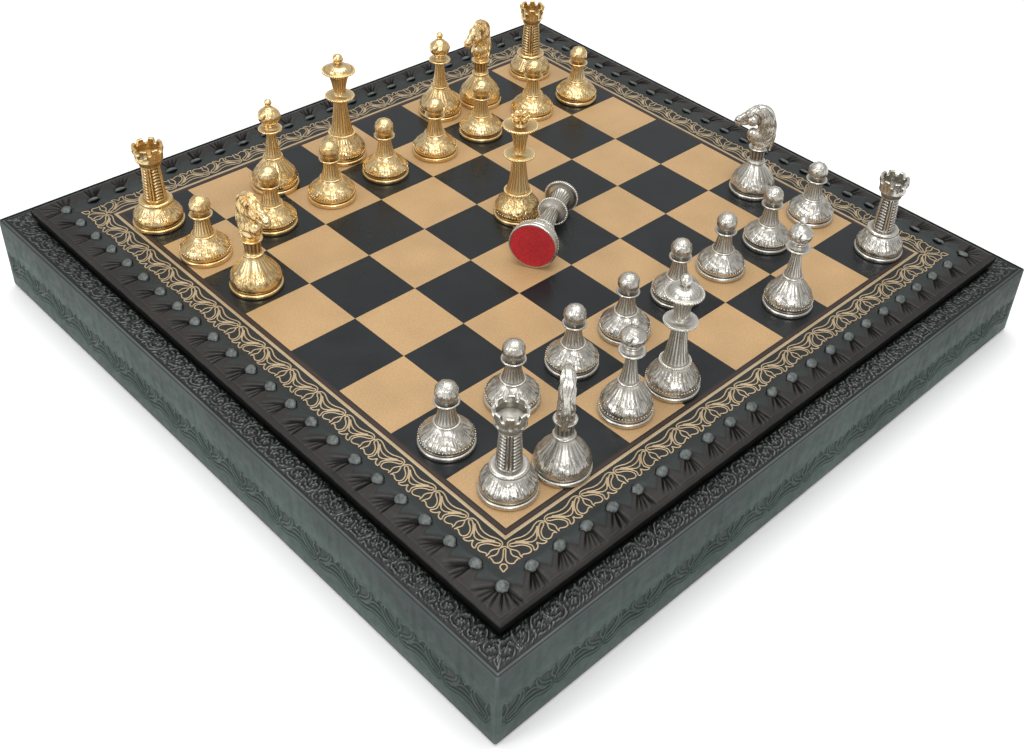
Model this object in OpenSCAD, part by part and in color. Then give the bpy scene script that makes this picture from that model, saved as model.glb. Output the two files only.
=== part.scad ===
// Chess set on a leatherette-covered storage box.
// The frame stands on the table at z = 0 with its centre on the z axis. The silver side is at -Y,
// the gold side at +Y. The board lifts off the box, and every chess piece lifts off the board.

/* [Board] */
// Side of one square of the board
square = 33; // [28:0.5:45]
// Printed border from the outer squares to the edge rolls
border_w = 15; // [10:0.5:25]
// Width of the padded edge rolls round the board
roll_w = 16.2; // [12:0.1:25]
// Height of the playing surface above the ledge of the box
board_t = 6.5; // [5.5:0.1:12]
// Thickness of the printed playing sheet
sheet_t = 0.8; // [0.4:0.1:1.5]
// Thickness of the felt under the board
board_felt_t = 0.6; // [0.3:0.1:1.2]
// Height of the edge rolls above the playing sheet
roll_rise = 0.5; // [0:0.1:1.5]
// Radius of the rounded outer edge of the rolls
roll_round = 3.4; // [1.5:0.1:4.5]
// Distance from the sheet to the row of studs
stud_inset = 4.2; // [3:0.1:7]
// Radius of a stud
stud_r = 2.4; // [1.5:0.1:3]
// Height of a stud
stud_h = 1.1; // [0.6:0.1:1.6]
// Studs along one side, counting one corner
studs_per_side = 22; // [12:1:30]

/* [Box] */
// Width of the ledge that shows round the board
ledge_w = 11.3; // [8:0.1:20]
// Height of the ledge above the table
box_h = 38.2; // [30:0.1:70]
// Thickness of the wooden walls
wall_t = 14; // [12:0.5:18]
// Thickness of the base panel
base_t = 4; // [3:0.5:8]
// Thickness of the leatherette cover
cover_t = 1; // [0.5:0.1:1.5]
// Thickness of the felt under the box
foot_felt_t = 0.8; // [0.5:0.1:2]
// Inset of that felt from the box's sides
foot_felt_inset = 3; // [1:0.5:10]
// Thickness of the felt in the compartments
floor_felt_t = 1; // [0.5:0.1:2]
// Height of the compartment dividers above the base panel
divider_h = 24; // [12:0.5:26]
// Thickness of the compartment dividers
divider_t = 4; // [3:0.5:8]
// Depth of the strips that keep the board in place
strip_h = 4; // [2:0.5:5]
// Thickness of those strips
strip_t = 4; // [3:0.5:8]
// Play between the strips and the walls of the box
strip_play = 1; // [0.3:0.1:3]
// Play between the divider halves and at the divider ends
divider_play = 0.2; // [0.1:0.05:0.5]

/* [All pieces] */
// Height of the cast rim round the foot
rim_h = 1.9; // [1.5:0.1:2.5]
// Depth of the groove above the rim
groove_d = 0.7; // [0.3:0.1:1]
// Thickness of the red felt pad
pad_t = 0.6; // [0.3:0.1:1]
// Width of bare metal round the pad
pad_margin = 1; // [0.5:0.1:2]
// Height of the pad below the metal rim
pad_proud = 0.1; // [0.05:0.05:0.25]
// Thickness of the thin rings on the stems
ring_t = 0.9; // [0.6:0.1:1.4]
// Thickness of the collars and of the crown discs
collar_t = 1.3; // [0.8:0.1:2]

/* [Pawn] */
// Radius of the foot
pawn_foot_r = 11.6; // [9:0.1:13]
// Height of the ring above the board
pawn_ring_z = 11.6; // [9:0.1:14]
// Radius of the ring
pawn_ring_r = 5.5; // [4:0.1:6.5]
// Radius of the stem below the collar
pawn_stem_r = 3.1; // [2:0.1:3.6]
// Height of the collar
pawn_collar_z = 21.9; // [19:0.1:26]
// Radius of the collar
pawn_collar_r = 5.2; // [4.4:0.1:6.5]
// Radius of the ball
pawn_ball_r = 4.7; // [4:0.1:6]

/* [Rook] */
// Radius of the foot
rook_foot_r = 11.8; // [9:0.1:13]
// Height of the round collar above the bell
rook_torus_z = 12.4; // [10:0.1:15]
// Radius of that collar
rook_torus_r = 7.7; // [6:0.1:9]
// Radius of the tower at its base
rook_stem_r = 5; // [4:0.1:5.6]
// Radius of the tower at its neck
rook_neck_r = 3.9; // [3:0.1:4.6]
// Height of the neck
rook_neck_z = 31; // [28:0.5:36]
// Height of the crown above the neck
rook_crown_h = 10.6; // [8:0.1:13]
// Outer radius of the crown at its rim
rook_crown_r = 7; // [6:0.1:8.5]
// Thickness of the crown's wall
rook_crown_t = 1.5; // [1:0.1:2]
// Width of the gaps between merlons
rook_gap_w = 2.2; // [1.5:0.1:2.8]
// Depth of those gaps
rook_gap_h = 2.4; // [1.5:0.1:3.5]

/* [Knight] */
// Radius of the foot
knight_foot_r = 11.8; // [9:0.1:13]
// Height of the lower ring
knight_ring_z = 17.6; // [14:0.1:20]
// Height of the drum between the two rings
knight_drum_h = 7.6; // [5:0.1:10]
// Radius of the rings
knight_ring_r = 4.8; // [4:0.1:6]
// Height of the head above the upper ring
knight_head_h = 22.8; // [18:0.1:28]
// Reach of the muzzle in front of the axis
knight_reach = 14; // [10:0.1:15]
// Thickness of the head
knight_head_t = 6.6; // [5:0.1:8]

/* [Bishop] */
// Radius of the foot
bishop_foot_r = 11.6; // [9:0.1:13]
// Height of the ring
bishop_ring_z = 17; // [14:0.1:20]
// Radius of the ring
bishop_ring_r = 4.8; // [4:0.1:6]
// Radius of the stem below the collar
bishop_stem_r = 2.2; // [1.8:0.1:3]
// Height of the collar
bishop_collar_z = 31.8; // [28:0.1:36]
// Radius of the collar
bishop_collar_r = 5.2; // [4.4:0.1:6.5]
// Radius of the head
bishop_head_r = 4.9; // [4:0.1:6]
// Height of the neck between the collar and the head
bishop_neck_h = 2.6; // [2:0.1:4]
// Height of the head's point above its widest place
bishop_point_h = 5.7; // [5:0.1:8]
// Radius of the ball on top
bishop_ball_r = 1.95; // [1.4:0.05:2.6]

/* [Queen] */
// Radius of the foot
queen_foot_r = 11.8; // [9:0.1:13]
// Height of the ring
queen_ring_z = 13.9; // [11:0.1:17]
// Radius of the ring
queen_ring_r = 6.5; // [5:0.1:7.5]
// Radius of the stem below the collar
queen_stem_r = 3.3; // [2.5:0.1:4]
// Height of the collar
queen_collar_z = 34.6; // [30:0.1:40]
// Radius of the collar
queen_collar_r = 7; // [5.8:0.1:8.5]
// Height of the cup above the collar
queen_cup_h = 13.9; // [10:0.1:16]
// Radius of the cup below the crown disc
queen_cup_r = 4.9; // [4:0.1:5.8]
// Radius of the crown disc
queen_disc_r = 7.9; // [6.6:0.1:9]
// Height of the dome on the disc
queen_dome_h = 3.9; // [2:0.1:5]
// Radius of the ball on top
queen_ball_r = 2.4; // [1.6:0.1:3]

/* [King] */
// Radius of the foot
king_foot_r = 11.6; // [10:0.1:13]
// Height of the ring
king_ring_z = 14.3; // [11:0.1:17]
// Radius of the ring
king_ring_r = 6.5; // [5:0.1:7.5]
// Radius of the stem below the collar
king_stem_r = 3.4; // [2.5:0.1:4]
// Height of the collar
king_collar_z = 34.7; // [30:0.1:40]
// Radius of the collar
king_collar_r = 7.1; // [5.8:0.1:8.5]
// Height of the cup above the collar
king_cup_h = 15.3; // [10:0.1:18]
// Radius of the cup below the crown disc
king_cup_r = 5; // [4:0.1:5.8]
// Radius of the crown disc
king_disc_r = 8.2; // [6.6:0.1:9.5]
// Height of the cross above the disc
king_cross_h = 7.2; // [6:0.1:10]
// Width of the cross from arm to arm
king_cross_w = 9.6; // [6:0.1:11]
// Thickness of the cross arms
king_arm_t = 2.4; // [1.6:0.1:3]

/* [Layout] */
// Direction in which the fallen king's head points
fallen_turn = 30; // [20:1:40]
// Gap under the fallen king
fallen_gap = 0.15; // [0.1:0.05:0.3]

/* [Hidden] */
$fn = 64;
steps = 8;
play_half = 4 * square;
sheet_half = play_half + border_w;
board_half = sheet_half + roll_w;
box_half = board_half + ledge_w;
play_z = box_h + board_t;
roll_z = play_z + roll_rise;
panel_z = box_h + board_felt_t;
wall_half = box_half - cover_t;
inner_half = wall_half - wall_t;
base_z = foot_felt_t + base_t;
wall_top = box_h - cover_t;
floor_z = base_z + floor_felt_t;
stud_row = sheet_half + stud_inset;
bell_z = 4.4;
bell_in = 0.5;
pad_gap = 0.1;
// Depth of the undercut below the rounded edge of a roll
roll_tuck = 0.6;
// Distance from a locating strip's end to the next strip
strip_gap = 1;

// Places of the pieces in squares, counted from the board's corner at -X, -Y
gold_pawns = [
    [0.34, 6.46], [1.45, 6.50], [2.50, 6.52], [3.51, 6.54],
    [4.49, 6.54], [5.44, 6.53], [6.56, 6.51], [7.48, 6.39]
];
silver_pawns = [
    [0.39, 1.45], [1.47, 1.49], [2.50, 1.49], [3.49, 1.50],
    [4.59, 1.56], [5.55, 1.56], [6.59, 1.55], [7.65, 1.54]
];
gold_rooks = [[0.27, 7.55], [7.48, 7.54]];
silver_rooks = [[0.42, 0.42], [7.71, 0.33]];
gold_bishops = [[2.06, 7.32], [5.36, 7.45]];
silver_bishops = [[2.38, 0.43], [5.63, 0.42]];
// Knights have their facing in degrees from +X as a third value
gold_knights = [[0.46, 5.43, -84], [6.13, 7.33, 192]];
silver_knights = [[1.12, 0.26, 43], [7.55, 2.59, 128]];
gold_queen_place = [3.33, 7.36];
silver_queen_place = [3.16, 0.36];
gold_king_place = [4.28, 4.42];
silver_king_place = [3.53, 3.32];

SIDES = ["front", "right", "back", "left"];
METALS = ["gold", "silver"];
HANDS = ["left", "right"];

// ---- Curves for turned outlines: each gives points [radius, height], bottom to top ----

// S-shaped flank from a wide foot to a narrow top
function flank(r0, z0, r1, z1) = [
    for (i = [0:steps]) let (t = i / steps)
        [r1 + (r0 - r1) * (1 + cos(180 * t)) / 2, z0 + (z1 - z0) * t]
];
// Hollow curve that narrows quickly, then stands upright
function flare(r0, z0, r1, z1, power = 1.8) = [
    for (i = [0:steps]) let (t = i / steps)
        [r1 + (r0 - r1) * pow(1 - t, power), z0 + (z1 - z0) * t]
];
// Round edge of a disc, t thick, centred at height z
function edge(r, z, t) = [
    for (i = [0:6]) let (a = -90 + 30 * i) [r - t / 2 + t / 2 * cos(a), z + t / 2 * sin(a)]
];
// Part of a ball from angle a0 to a1, measured from its equator
function ball(r, z, a0, a1) = [
    for (i = [0:steps]) let (a = a0 + (a1 - a0) * i / steps) [r * cos(a), z + r * sin(a)]
];
// Foot with its rim, groove and bell, up to the radius and height of the ring
function bell(foot_r, ring_r, ring_z) = concat(
    [[foot_r - 0.4, pad_proud], [foot_r, 0.5], [foot_r, rim_h - 0.4], [foot_r - 0.4, rim_h]],
    [[foot_r - bell_in - groove_d, rim_h + 0.1]],
    [for (a = [-60:20:-20]) [foot_r - bell_in - groove_d * (1 - cos(a)), bell_z + 2 * sin(a)]],
    flank(foot_r - bell_in, bell_z, ring_r, ring_z)
);
// Bell, ring and hollow stem up to the collar
function stem(foot_r, ring_r, ring_z, stem_r, collar_r, collar_z) = concat(
    bell(foot_r, ring_r - 0.3, ring_z - ring_t / 2),
    edge(ring_r, ring_z, ring_t),
    flare(ring_r - 0.8, ring_z + ring_t / 2, stem_r, collar_z - collar_t / 2),
    edge(collar_r, collar_z, collar_t)
);
// Cup that opens from the collar to the underside of a disc
function cup(low_r, low_z, top_r, top_z) = [
    for (i = [0:steps]) let (t = i / steps)
        [low_r + (top_r - low_r) * pow(t, 1.4), low_z + (top_z - low_z) * t]
];

// Turned solid from an outline that starts at the foot and ends at the axis
module turned(outline, top_z) {
    rotate_extrude() polygon(concat([[0, pad_proud]], outline, [[0, top_z]]));
}
// Round recess in the underside of a foot, filled by a pad
module pad_recess(foot_r) {
    translate([0, 0, -1]) cylinder(r = foot_r - pad_margin + pad_gap, h = 1 + pad_t);
}
module pad(foot_r) {
    color("firebrick") cylinder(r = foot_r - pad_margin, h = pad_t);
}
// Pad joined to its casting: it starts on the board, below the metal, and ends inside the foot
module joined_pad(foot_r) {
    cylinder(r = foot_r - pad_margin, h = pad_t);
}

// ---- Chess pieces, standing at the origin ----

module pawn() {
    ball_z = pawn_collar_z + collar_t / 2 + pawn_ball_r * sin(50) + 0.4;
    neck = pawn_ball_r * cos(50);
    turned(concat(
        stem(pawn_foot_r, pawn_ring_r, pawn_ring_z, pawn_stem_r, pawn_collar_r, pawn_collar_z),
        [[neck, pawn_collar_z + collar_t / 2 + 0.1]],
        ball(pawn_ball_r, ball_z, -50, 85)
    ), ball_z + pawn_ball_r);
    joined_pad(pawn_foot_r);
}

module rook() {
    top_z = rook_neck_z + rook_crown_h;
    shoulder_z = rook_neck_z + 0.33 * rook_crown_h;
    hollow_z = top_z - 0.5 * rook_crown_h;
    difference() {
        turned(concat(
            bell(rook_foot_r, rook_torus_r - 0.9, rook_torus_z - ring_t - 0.4),
            edge(rook_torus_r, rook_torus_z, 2 * (ring_t + 0.2)),
            [[rook_stem_r, rook_torus_z + ring_t + 0.4], [rook_neck_r, rook_neck_z]],
            [[rook_neck_r + 0.8, rook_neck_z + 0.8], [rook_crown_r - 0.9, shoulder_z]],
            [[rook_crown_r - 0.6, top_z - rook_gap_h - 0.6], [rook_crown_r, top_z]]
        ), top_z);
        translate([0, 0, hollow_z]) cylinder(r = rook_crown_r - rook_crown_t, h = rook_crown_h);
        for (a = [22.5:45:157.5]) rotate([0, 0, a])
            translate([-2 * rook_crown_r, -rook_gap_w / 2, top_z - rook_gap_h])
                cube([4 * rook_crown_r, rook_gap_w, 2 * rook_gap_h]);
    }
    joined_pad(rook_foot_r);
}

// Horse's head in shares of its reach and height, from the chest round the muzzle to the mane
head_points = [
    [0.30, 0], [0.32, 0.10], [0.43, 0.30], [0.28, 0.40], [0.57, 0.51], [0.82, 0.48],
    [0.99, 0.61], [1.00, 0.72], [0.71, 0.84], [0.53, 0.93], [0.28, 1.00], [0.00, 0.99],
    [-0.21, 0.90], [-0.41, 0.77], [-0.54, 0.55], [-0.55, 0.30], [-0.49, 0.12], [-0.31, 0]
];
// Cuts the corners of a closed outline, n times over
function rounded(p, n) = n == 0 ? p : rounded([
    for (i = [0:len(p) - 1], k = [0.25, 0.75]) let (q = p[(i + 1) % len(p)]) p[i] * (1 - k) + q * k
], n - 1);

module knight() {
    drum_z = knight_ring_z + knight_drum_h;
    head_z = drum_z + ring_t / 2;
    turned(concat(
        bell(knight_foot_r, knight_ring_r - 0.8, knight_ring_z - ring_t / 2),
        edge(knight_ring_r - 0.3, knight_ring_z, ring_t),
        [[knight_ring_r - 1.2, knight_ring_z + ring_t / 2], [knight_ring_r - 0.9, drum_z - ring_t / 2]],
        edge(knight_ring_r, drum_z, ring_t)
    ), head_z);
    translate([0, 0, head_z]) rotate([90, 0, 0])
        translate([0, 0, -knight_head_t / 2]) linear_extrude(knight_head_t)
            intersection() {
                polygon(rounded([for (p = head_points) [p[0] * knight_reach, p[1] * knight_head_h]], 2));
                translate([-2 * knight_reach, 0]) square([4 * knight_reach, 2 * knight_head_h]);
            }
    joined_pad(knight_foot_r);
}

module bishop() {
    head_z = bishop_collar_z + collar_t / 2 + bishop_neck_h + bishop_head_r * sin(55);
    point_z = head_z + bishop_point_h;
    ball_z = point_z + bishop_ball_r * sin(50);
    neck_r = bishop_head_r * cos(55);
    difference() {
        turned(concat(
            stem(bishop_foot_r, bishop_ring_r, bishop_ring_z, bishop_stem_r, bishop_collar_r,
                 bishop_collar_z),
            [[neck_r - 0.4, bishop_collar_z + collar_t / 2 + 0.1]],
            ball(bishop_head_r, head_z, -55, 35),
            [[bishop_ball_r * cos(50), point_z]],
            ball(bishop_ball_r, ball_z, -50, 85)
        ), ball_z + bishop_ball_r);
        pad_recess(bishop_foot_r);
    }
}

module queen() {
    disc_z = queen_collar_z + queen_cup_h;
    ball_z = disc_z + queen_dome_h + 0.6 * queen_ball_r + collar_t / 2;
    difference() {
        turned(concat(
            stem(queen_foot_r, queen_ring_r, queen_ring_z, queen_stem_r, queen_collar_r, queen_collar_z),
            cup(queen_stem_r - 0.4, queen_collar_z + collar_t / 2, queen_cup_r, disc_z - collar_t / 2),
            edge(queen_disc_r, disc_z, collar_t),
            flare(queen_disc_r - 1, disc_z + collar_t / 2, 1.1, disc_z + queen_dome_h, 1.2),
            ball(queen_ball_r, ball_z, -50, 85)
        ), ball_z + queen_ball_r);
        pad_recess(queen_foot_r);
    }
}

module king() {
    disc_z = king_collar_z + king_cup_h;
    top_z = disc_z + collar_t / 2;
    arm_z = top_z + 0.35 * king_cross_h;
    difference() {
        turned(concat(
            stem(king_foot_r, king_ring_r, king_ring_z, king_stem_r, king_collar_r, king_collar_z),
            cup(king_stem_r - 0.5, king_collar_z + collar_t / 2, king_cup_r, disc_z - collar_t / 2),
            edge(king_disc_r, disc_z, collar_t)
        ), top_z);
        pad_recess(king_foot_r);
    }
    translate([0, 0, top_z]) cylinder(r = king_arm_t, h = 0.6 * king_cross_h);
    translate([-king_arm_t / 2, -king_arm_t / 2, top_z]) cube([king_arm_t, king_arm_t, king_cross_h]);
    for (a = [45, 135]) rotate([0, 0, a])
        translate([-king_cross_w / 2, -king_arm_t / 2, arm_z])
            cube([king_cross_w, king_arm_t, 0.4 * king_cross_h]);
}

// Stands a piece on the board at a place given in squares
module stand(place) {
    translate([(place[0] - 4) * square, (place[1] - 4) * square, play_z])
        rotate([0, 0, len(place) > 2 ? place[2] : 0]) children();
}
// Lays the king on the board, on the rims of its foot and of its crown disc
module fallen(place) {
    disc_z = king_collar_z + king_cup_h;
    lean = atan((king_foot_r - king_disc_r) / (disc_z - rim_h / 2));
    lift = fallen_gap + king_foot_r * cos(lean) + rim_h / 2 * sin(lean) + rim_h * sin(lean) / 2;
    translate([(place[0] - 4) * square, (place[1] - 4) * square, play_z + lift])
        rotate([0, 90 + lean, fallen_turn]) children();
}
function metal(m) = m == "gold" ? "gold" : "silver";

// ---- Board ----

// Right prism with a square outline of half width half, from z0 to z1
module plate(half, z0, z1) {
    translate([-half, -half, z0]) cube([2 * half, 2 * half, z1 - z0]);
}
// Square ring between two half widths, from z0 to z1
module ring_plate(outer, inner, z0, z1) {
    difference() {
        plate(outer, z0, z1);
        plate(inner, z0 - 1, z1 + 1);
    }
}
// Turns the front side's rail to side i
module on_side(i) {
    rotate([0, 0, 90 * i]) children();
}
// Front rail with the section given as its children, x outwards and y up, mitred at both ends
module mitred(outer, inner, top) {
    intersection() {
        translate([-outer, -inner, 0]) rotate([90, 0, 90]) mirror([1, 0, 0])
            linear_extrude(2 * outer) children();
        linear_extrude(top)
            polygon([[0, 0], [-outer - 1, -outer - 1], [outer + 1, -outer - 1]]);
    }
}
// Section of an edge roll: flat inside, rounded outside
module roll_section() {
    polygon(concat(
        [[0, box_h], [roll_w - roll_tuck, box_h]],
        [for (a = [-40:20:90])
            [roll_w - roll_round + roll_round * cos(a), roll_z - roll_round + roll_round * sin(a)]],
        [[0, roll_z]]
    ));
}

module edge_roll(i) {
    color("#2a2624") on_side(i) mitred(board_half, sheet_half, 2 * roll_z) roll_section();
}
module playing_sheet() {
    color("tan") plate(sheet_half, play_z - sheet_t, play_z);
}
module board_panel() {
    color("burlywood") plate(sheet_half, panel_z, play_z - sheet_t);
}
module board_felt() {
    color("darkgreen") plate(sheet_half, box_h, panel_z);
}
module edge_studs() {
    pitch = 2 * stud_row / studs_per_side;
    color("#1c1a19")
        for (i = [0:3], k = [0:studs_per_side - 1]) rotate([0, 0, 90 * i])
            translate([-stud_row + k * pitch, -stud_row, roll_z])
                rotate_extrude() polygon(concat(
                    [[0, 0], [stud_r, 0]],
                    [for (t = [0.3:0.3:0.9]) [stud_r * cos(90 * t), stud_h * sin(90 * t)]],
                    [[0, stud_h]]
                ));
}
module locating_strips() {
    outer = inner_half - strip_play;
    half = outer - strip_t - strip_gap;
    color("sienna") for (i = [0:3]) on_side(i)
        translate([-half, -outer, box_h - strip_h]) cube([2 * half, strip_t, strip_h]);
}

// ---- Box ----

module foot_felt() {
    color("black") plate(box_half - foot_felt_inset, 0, foot_felt_t);
}
module base_panel() {
    color("burlywood") plate(wall_half, foot_felt_t, base_z);
}
module wall(i) {
    color("peru") on_side(i) mitred(wall_half, inner_half, 2 * box_h)
        translate([0, base_z]) square([wall_t, wall_top - base_z]);
}
module side_cover() {
    color("#39403f") ring_plate(box_half, wall_half, foot_felt_t, box_h);
}
module ledge_cover() {
    color("#2b3130") ring_plate(wall_half, inner_half, wall_top, box_h);
}
module floor_felt() {
    color("darkgreen") plate(inner_half, base_z, floor_z);
}
// Divider along X, notched at its middle from the top or from below for the other divider
module divider(notch_top) {
    half = inner_half - divider_play;
    notch_w = divider_t + 2 * divider_play;
    notch_h = divider_h / 2 + divider_play;
    difference() {
        translate([-half, -divider_t / 2, floor_z]) cube([2 * half, divider_t, divider_h]);
        translate([-notch_w / 2, -divider_t, notch_top ? floor_z + divider_h - notch_h : floor_z - 1])
            cube([notch_w, 2 * divider_t, notch_h + 1]);
    }
}
module divider_long() {
    color("saddlebrown") divider(false);
}
module divider_cross() {
    color("saddlebrown") rotate([0, 0, 90]) divider(true);
}

// ---- What is drawn ----

foot_felt();
base_panel();
side_cover();
ledge_cover();
floor_felt();
divider_long();
divider_cross();
board_panel();
board_felt();
locating_strips();
playing_sheet();
edge_studs();
for (i = [0:3]) {
    wall(i);
    edge_roll(i);
}
color("gold") stand(gold_king_place) king();  // gold_king
stand(gold_king_place) pad(king_foot_r);  // gold_king_pad
color("silver") fallen(silver_king_place) king();  // silver_king
fallen(silver_king_place) pad(king_foot_r);  // silver_king_pad
color("gold") stand(gold_queen_place) queen();  // gold_queen
stand(gold_queen_place) pad(queen_foot_r);  // gold_queen_pad
color("silver") stand(silver_queen_place) queen();  // silver_queen
stand(silver_queen_place) pad(queen_foot_r);  // silver_queen_pad
for (m = METALS) {
    bishops = m == "gold" ? gold_bishops : silver_bishops;
    knights = m == "gold" ? gold_knights : silver_knights;
    rooks = m == "gold" ? gold_rooks : silver_rooks;
    pawns = m == "gold" ? gold_pawns : silver_pawns;
    for (i = [0:1]) {
        color(m) stand(bishops[i]) bishop();
        stand(bishops[i]) pad(bishop_foot_r);
        color(m) stand(knights[i]) knight();
        color(m) stand(rooks[i]) rook();
    }
    for (i = [0:7])
        color(m) stand(pawns[i]) pawn();
}
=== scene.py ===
import math
import random

import bpy
import numpy as np
from mathutils import Matrix, Vector, noise
from mathutils.bvhtree import BVHTree


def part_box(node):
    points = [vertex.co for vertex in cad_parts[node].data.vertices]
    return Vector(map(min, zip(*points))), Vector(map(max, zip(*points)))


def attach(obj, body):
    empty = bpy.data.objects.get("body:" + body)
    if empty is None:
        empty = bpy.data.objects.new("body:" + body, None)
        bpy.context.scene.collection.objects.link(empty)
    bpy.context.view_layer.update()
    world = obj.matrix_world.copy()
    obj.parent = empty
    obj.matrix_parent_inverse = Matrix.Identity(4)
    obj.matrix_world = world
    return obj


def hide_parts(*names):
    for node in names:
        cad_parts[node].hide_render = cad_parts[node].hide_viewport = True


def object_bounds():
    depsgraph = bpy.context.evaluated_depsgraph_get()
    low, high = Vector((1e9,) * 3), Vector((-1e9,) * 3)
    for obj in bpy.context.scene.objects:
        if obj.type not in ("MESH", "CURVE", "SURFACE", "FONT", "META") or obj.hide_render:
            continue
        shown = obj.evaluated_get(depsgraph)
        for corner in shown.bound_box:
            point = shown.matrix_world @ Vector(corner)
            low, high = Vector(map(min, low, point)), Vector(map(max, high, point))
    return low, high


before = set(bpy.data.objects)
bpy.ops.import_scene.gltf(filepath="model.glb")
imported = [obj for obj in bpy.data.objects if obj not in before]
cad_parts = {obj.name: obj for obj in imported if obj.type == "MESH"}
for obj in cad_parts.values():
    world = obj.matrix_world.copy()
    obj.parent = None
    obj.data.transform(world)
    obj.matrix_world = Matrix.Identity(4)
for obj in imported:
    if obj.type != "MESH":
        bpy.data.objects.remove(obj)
cad_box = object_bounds()
bpy.ops.object.select_all(action="DESELECT")

# ---- Camera ----
# A 45 mm lens looks down at the board over its near corner, from the silver side.
# It stands at eye_place, turned eye_turn to the right of +Y, tilted down and rolled a little.
eye_place = Vector((-0.3526, -0.3594, 0.3955))
eye_turn = math.radians(48.8)
eye_tilt = math.radians(37.16)
eye_roll = math.radians(4.95)
camera = bpy.data.objects.new("camera", bpy.data.cameras.new("camera"))
camera.data.lens = 45.01
camera.data.sensor_width = 36
camera.data.shift_x = -0.084
camera.data.shift_y = -0.0825
camera.data.clip_start = 0.01
camera.matrix_world = (
    Matrix.Translation(eye_place)
    @ Matrix.Rotation(-eye_turn, 4, "Z")
    @ Matrix.Rotation(math.pi / 2 - eye_tilt, 4, "X")
    @ Matrix.Rotation(eye_roll, 4, "Z")
)
bpy.context.collection.objects.link(camera)
bpy.context.scene.camera = camera

# ---- Studio ----
# A white table top, a bright even room and three soft boxes: a wide one overhead, one behind
# the camera and one low on the left for the cast metal.
bpy.ops.mesh.primitive_plane_add(size=12, location=(0, 0, cad_box[0].z - 0.0002))
floor = bpy.context.object
floor.name = "table_top"
floor_paper = bpy.data.materials.new("white_table")
floor_paper.use_nodes = True
paper_shader = floor_paper.node_tree.nodes["Principled BSDF"]
paper_shader.inputs["Base Color"].default_value = (0.93, 0.93, 0.93, 1)
paper_shader.inputs["Roughness"].default_value = 0.9
floor.data.materials.append(floor_paper)

room = bpy.data.worlds.new("room")
room.use_nodes = True
room.node_tree.nodes["Background"].inputs["Color"].default_value = (1, 1, 1, 1)
room.node_tree.nodes["Background"].inputs["Strength"].default_value = 0.62
bpy.context.scene.world = room
bpy.context.scene.view_settings.view_transform = "Standard"


def soft_box(name, place, aim, width, height, watts):
    lamp = bpy.data.lights.new(name, "AREA")
    lamp.shape = "RECTANGLE"
    lamp.size = width
    lamp.size_y = height
    lamp.energy = watts
    holder = bpy.data.objects.new(name, lamp)
    holder.location = place
    holder.rotation_euler = (Vector(aim) - Vector(place)).to_track_quat("-Z", "Y").to_euler()
    bpy.context.collection.objects.link(holder)


soft_box("overhead_box", (0.1, 0.1, 1.5), (0, 0, 0), 1.3, 1.3, 17)
soft_box("shoulder_box", (-0.75, -1.1, 0.95), (0, 0, 0.05), 0.5, 0.5, 7)
soft_box("left_box", (-1.3, 0.25, 0.75), (0, 0, 0.05), 0.4, 0.8, 5)

# ---- Wooden parts: walls, base, dividers, board core and locating strips ----
# Pale softwood boards, planed and left raw: four mitred walls, a base panel, half-lapped dividers,
# the core of the board and the strips under it. Their CAD shapes are right, so they get only grain.
mm = 0.001
wood_dark = (0.40, 0.23, 0.11, 1)
wood_pale = (0.60, 0.41, 0.23, 1)
wood_palest = (0.68, 0.49, 0.29, 1)


def shader_parts(name):
    material = bpy.data.materials.new(name)
    material.use_nodes = True
    tree = material.node_tree
    return material, tree, tree.nodes["Principled BSDF"]


def add_node(tree, kind, **settings):
    made = tree.nodes.new(kind)
    for key, value in settings.items():
        if key in made.inputs:
            made.inputs[key].default_value = value
        else:
            setattr(made, key, value)
    return made


def object_place(tree):
    return tree.nodes.new("ShaderNodeTexCoord").outputs["Object"]


def pointiness(tree):
    return tree.nodes.new("ShaderNodeNewGeometry").outputs["Pointiness"]


def layer_node(tree, name, output="Fac"):
    return add_node(tree, "ShaderNodeAttribute", attribute_name=name).outputs[output]


def noise_node(tree, vector, scale, detail=3.0, distortion=0.0):
    made = add_node(tree, "ShaderNodeTexNoise", Scale=scale, Detail=detail, Distortion=distortion)
    tree.links.new(vector, made.inputs["Vector"])
    return made.outputs["Fac"]


def ramp_node(tree, factor, stops):
    made = tree.nodes.new("ShaderNodeValToRGB")
    made.color_ramp.elements[0].position = stops[0][0]
    made.color_ramp.elements[0].color = stops[0][1]
    made.color_ramp.elements[1].position = stops[-1][0]
    made.color_ramp.elements[1].color = stops[-1][1]
    for place, colour in stops[1:-1]:
        made.color_ramp.elements.new(place).color = colour
    tree.links.new(factor, made.inputs["Fac"])
    return made.outputs["Color"]


def grey(value):
    return (value, value, value, 1)


def bump_node(tree, height, distance, strength=1.0, normal=None):
    made = add_node(tree, "ShaderNodeBump", Distance=distance, Strength=strength)
    tree.links.new(height, made.inputs["Height"])
    if normal is not None:
        tree.links.new(normal, made.inputs["Normal"])
    return made.outputs["Normal"]


def math_node(tree, operation, first, second=None, third=None):
    made = tree.nodes.new("ShaderNodeMath")
    made.operation = operation
    for socket, value in zip(made.inputs, (first, second, third)):
        if isinstance(value, (int, float)):
            socket.default_value = value
        elif value is not None:
            tree.links.new(value, socket)
    return made.outputs["Value"]


def mix_colours(tree, factor, first, second, blend="MIX"):
    made = add_node(tree, "ShaderNodeMix", data_type="RGBA", blend_type=blend)
    for socket, value in ((made.inputs[0], factor), (made.inputs[6], first), (made.inputs[7], second)):
        if isinstance(value, (int, float, tuple)):
            socket.default_value = value
        else:
            tree.links.new(value, socket)
    return made.outputs[2]


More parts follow.
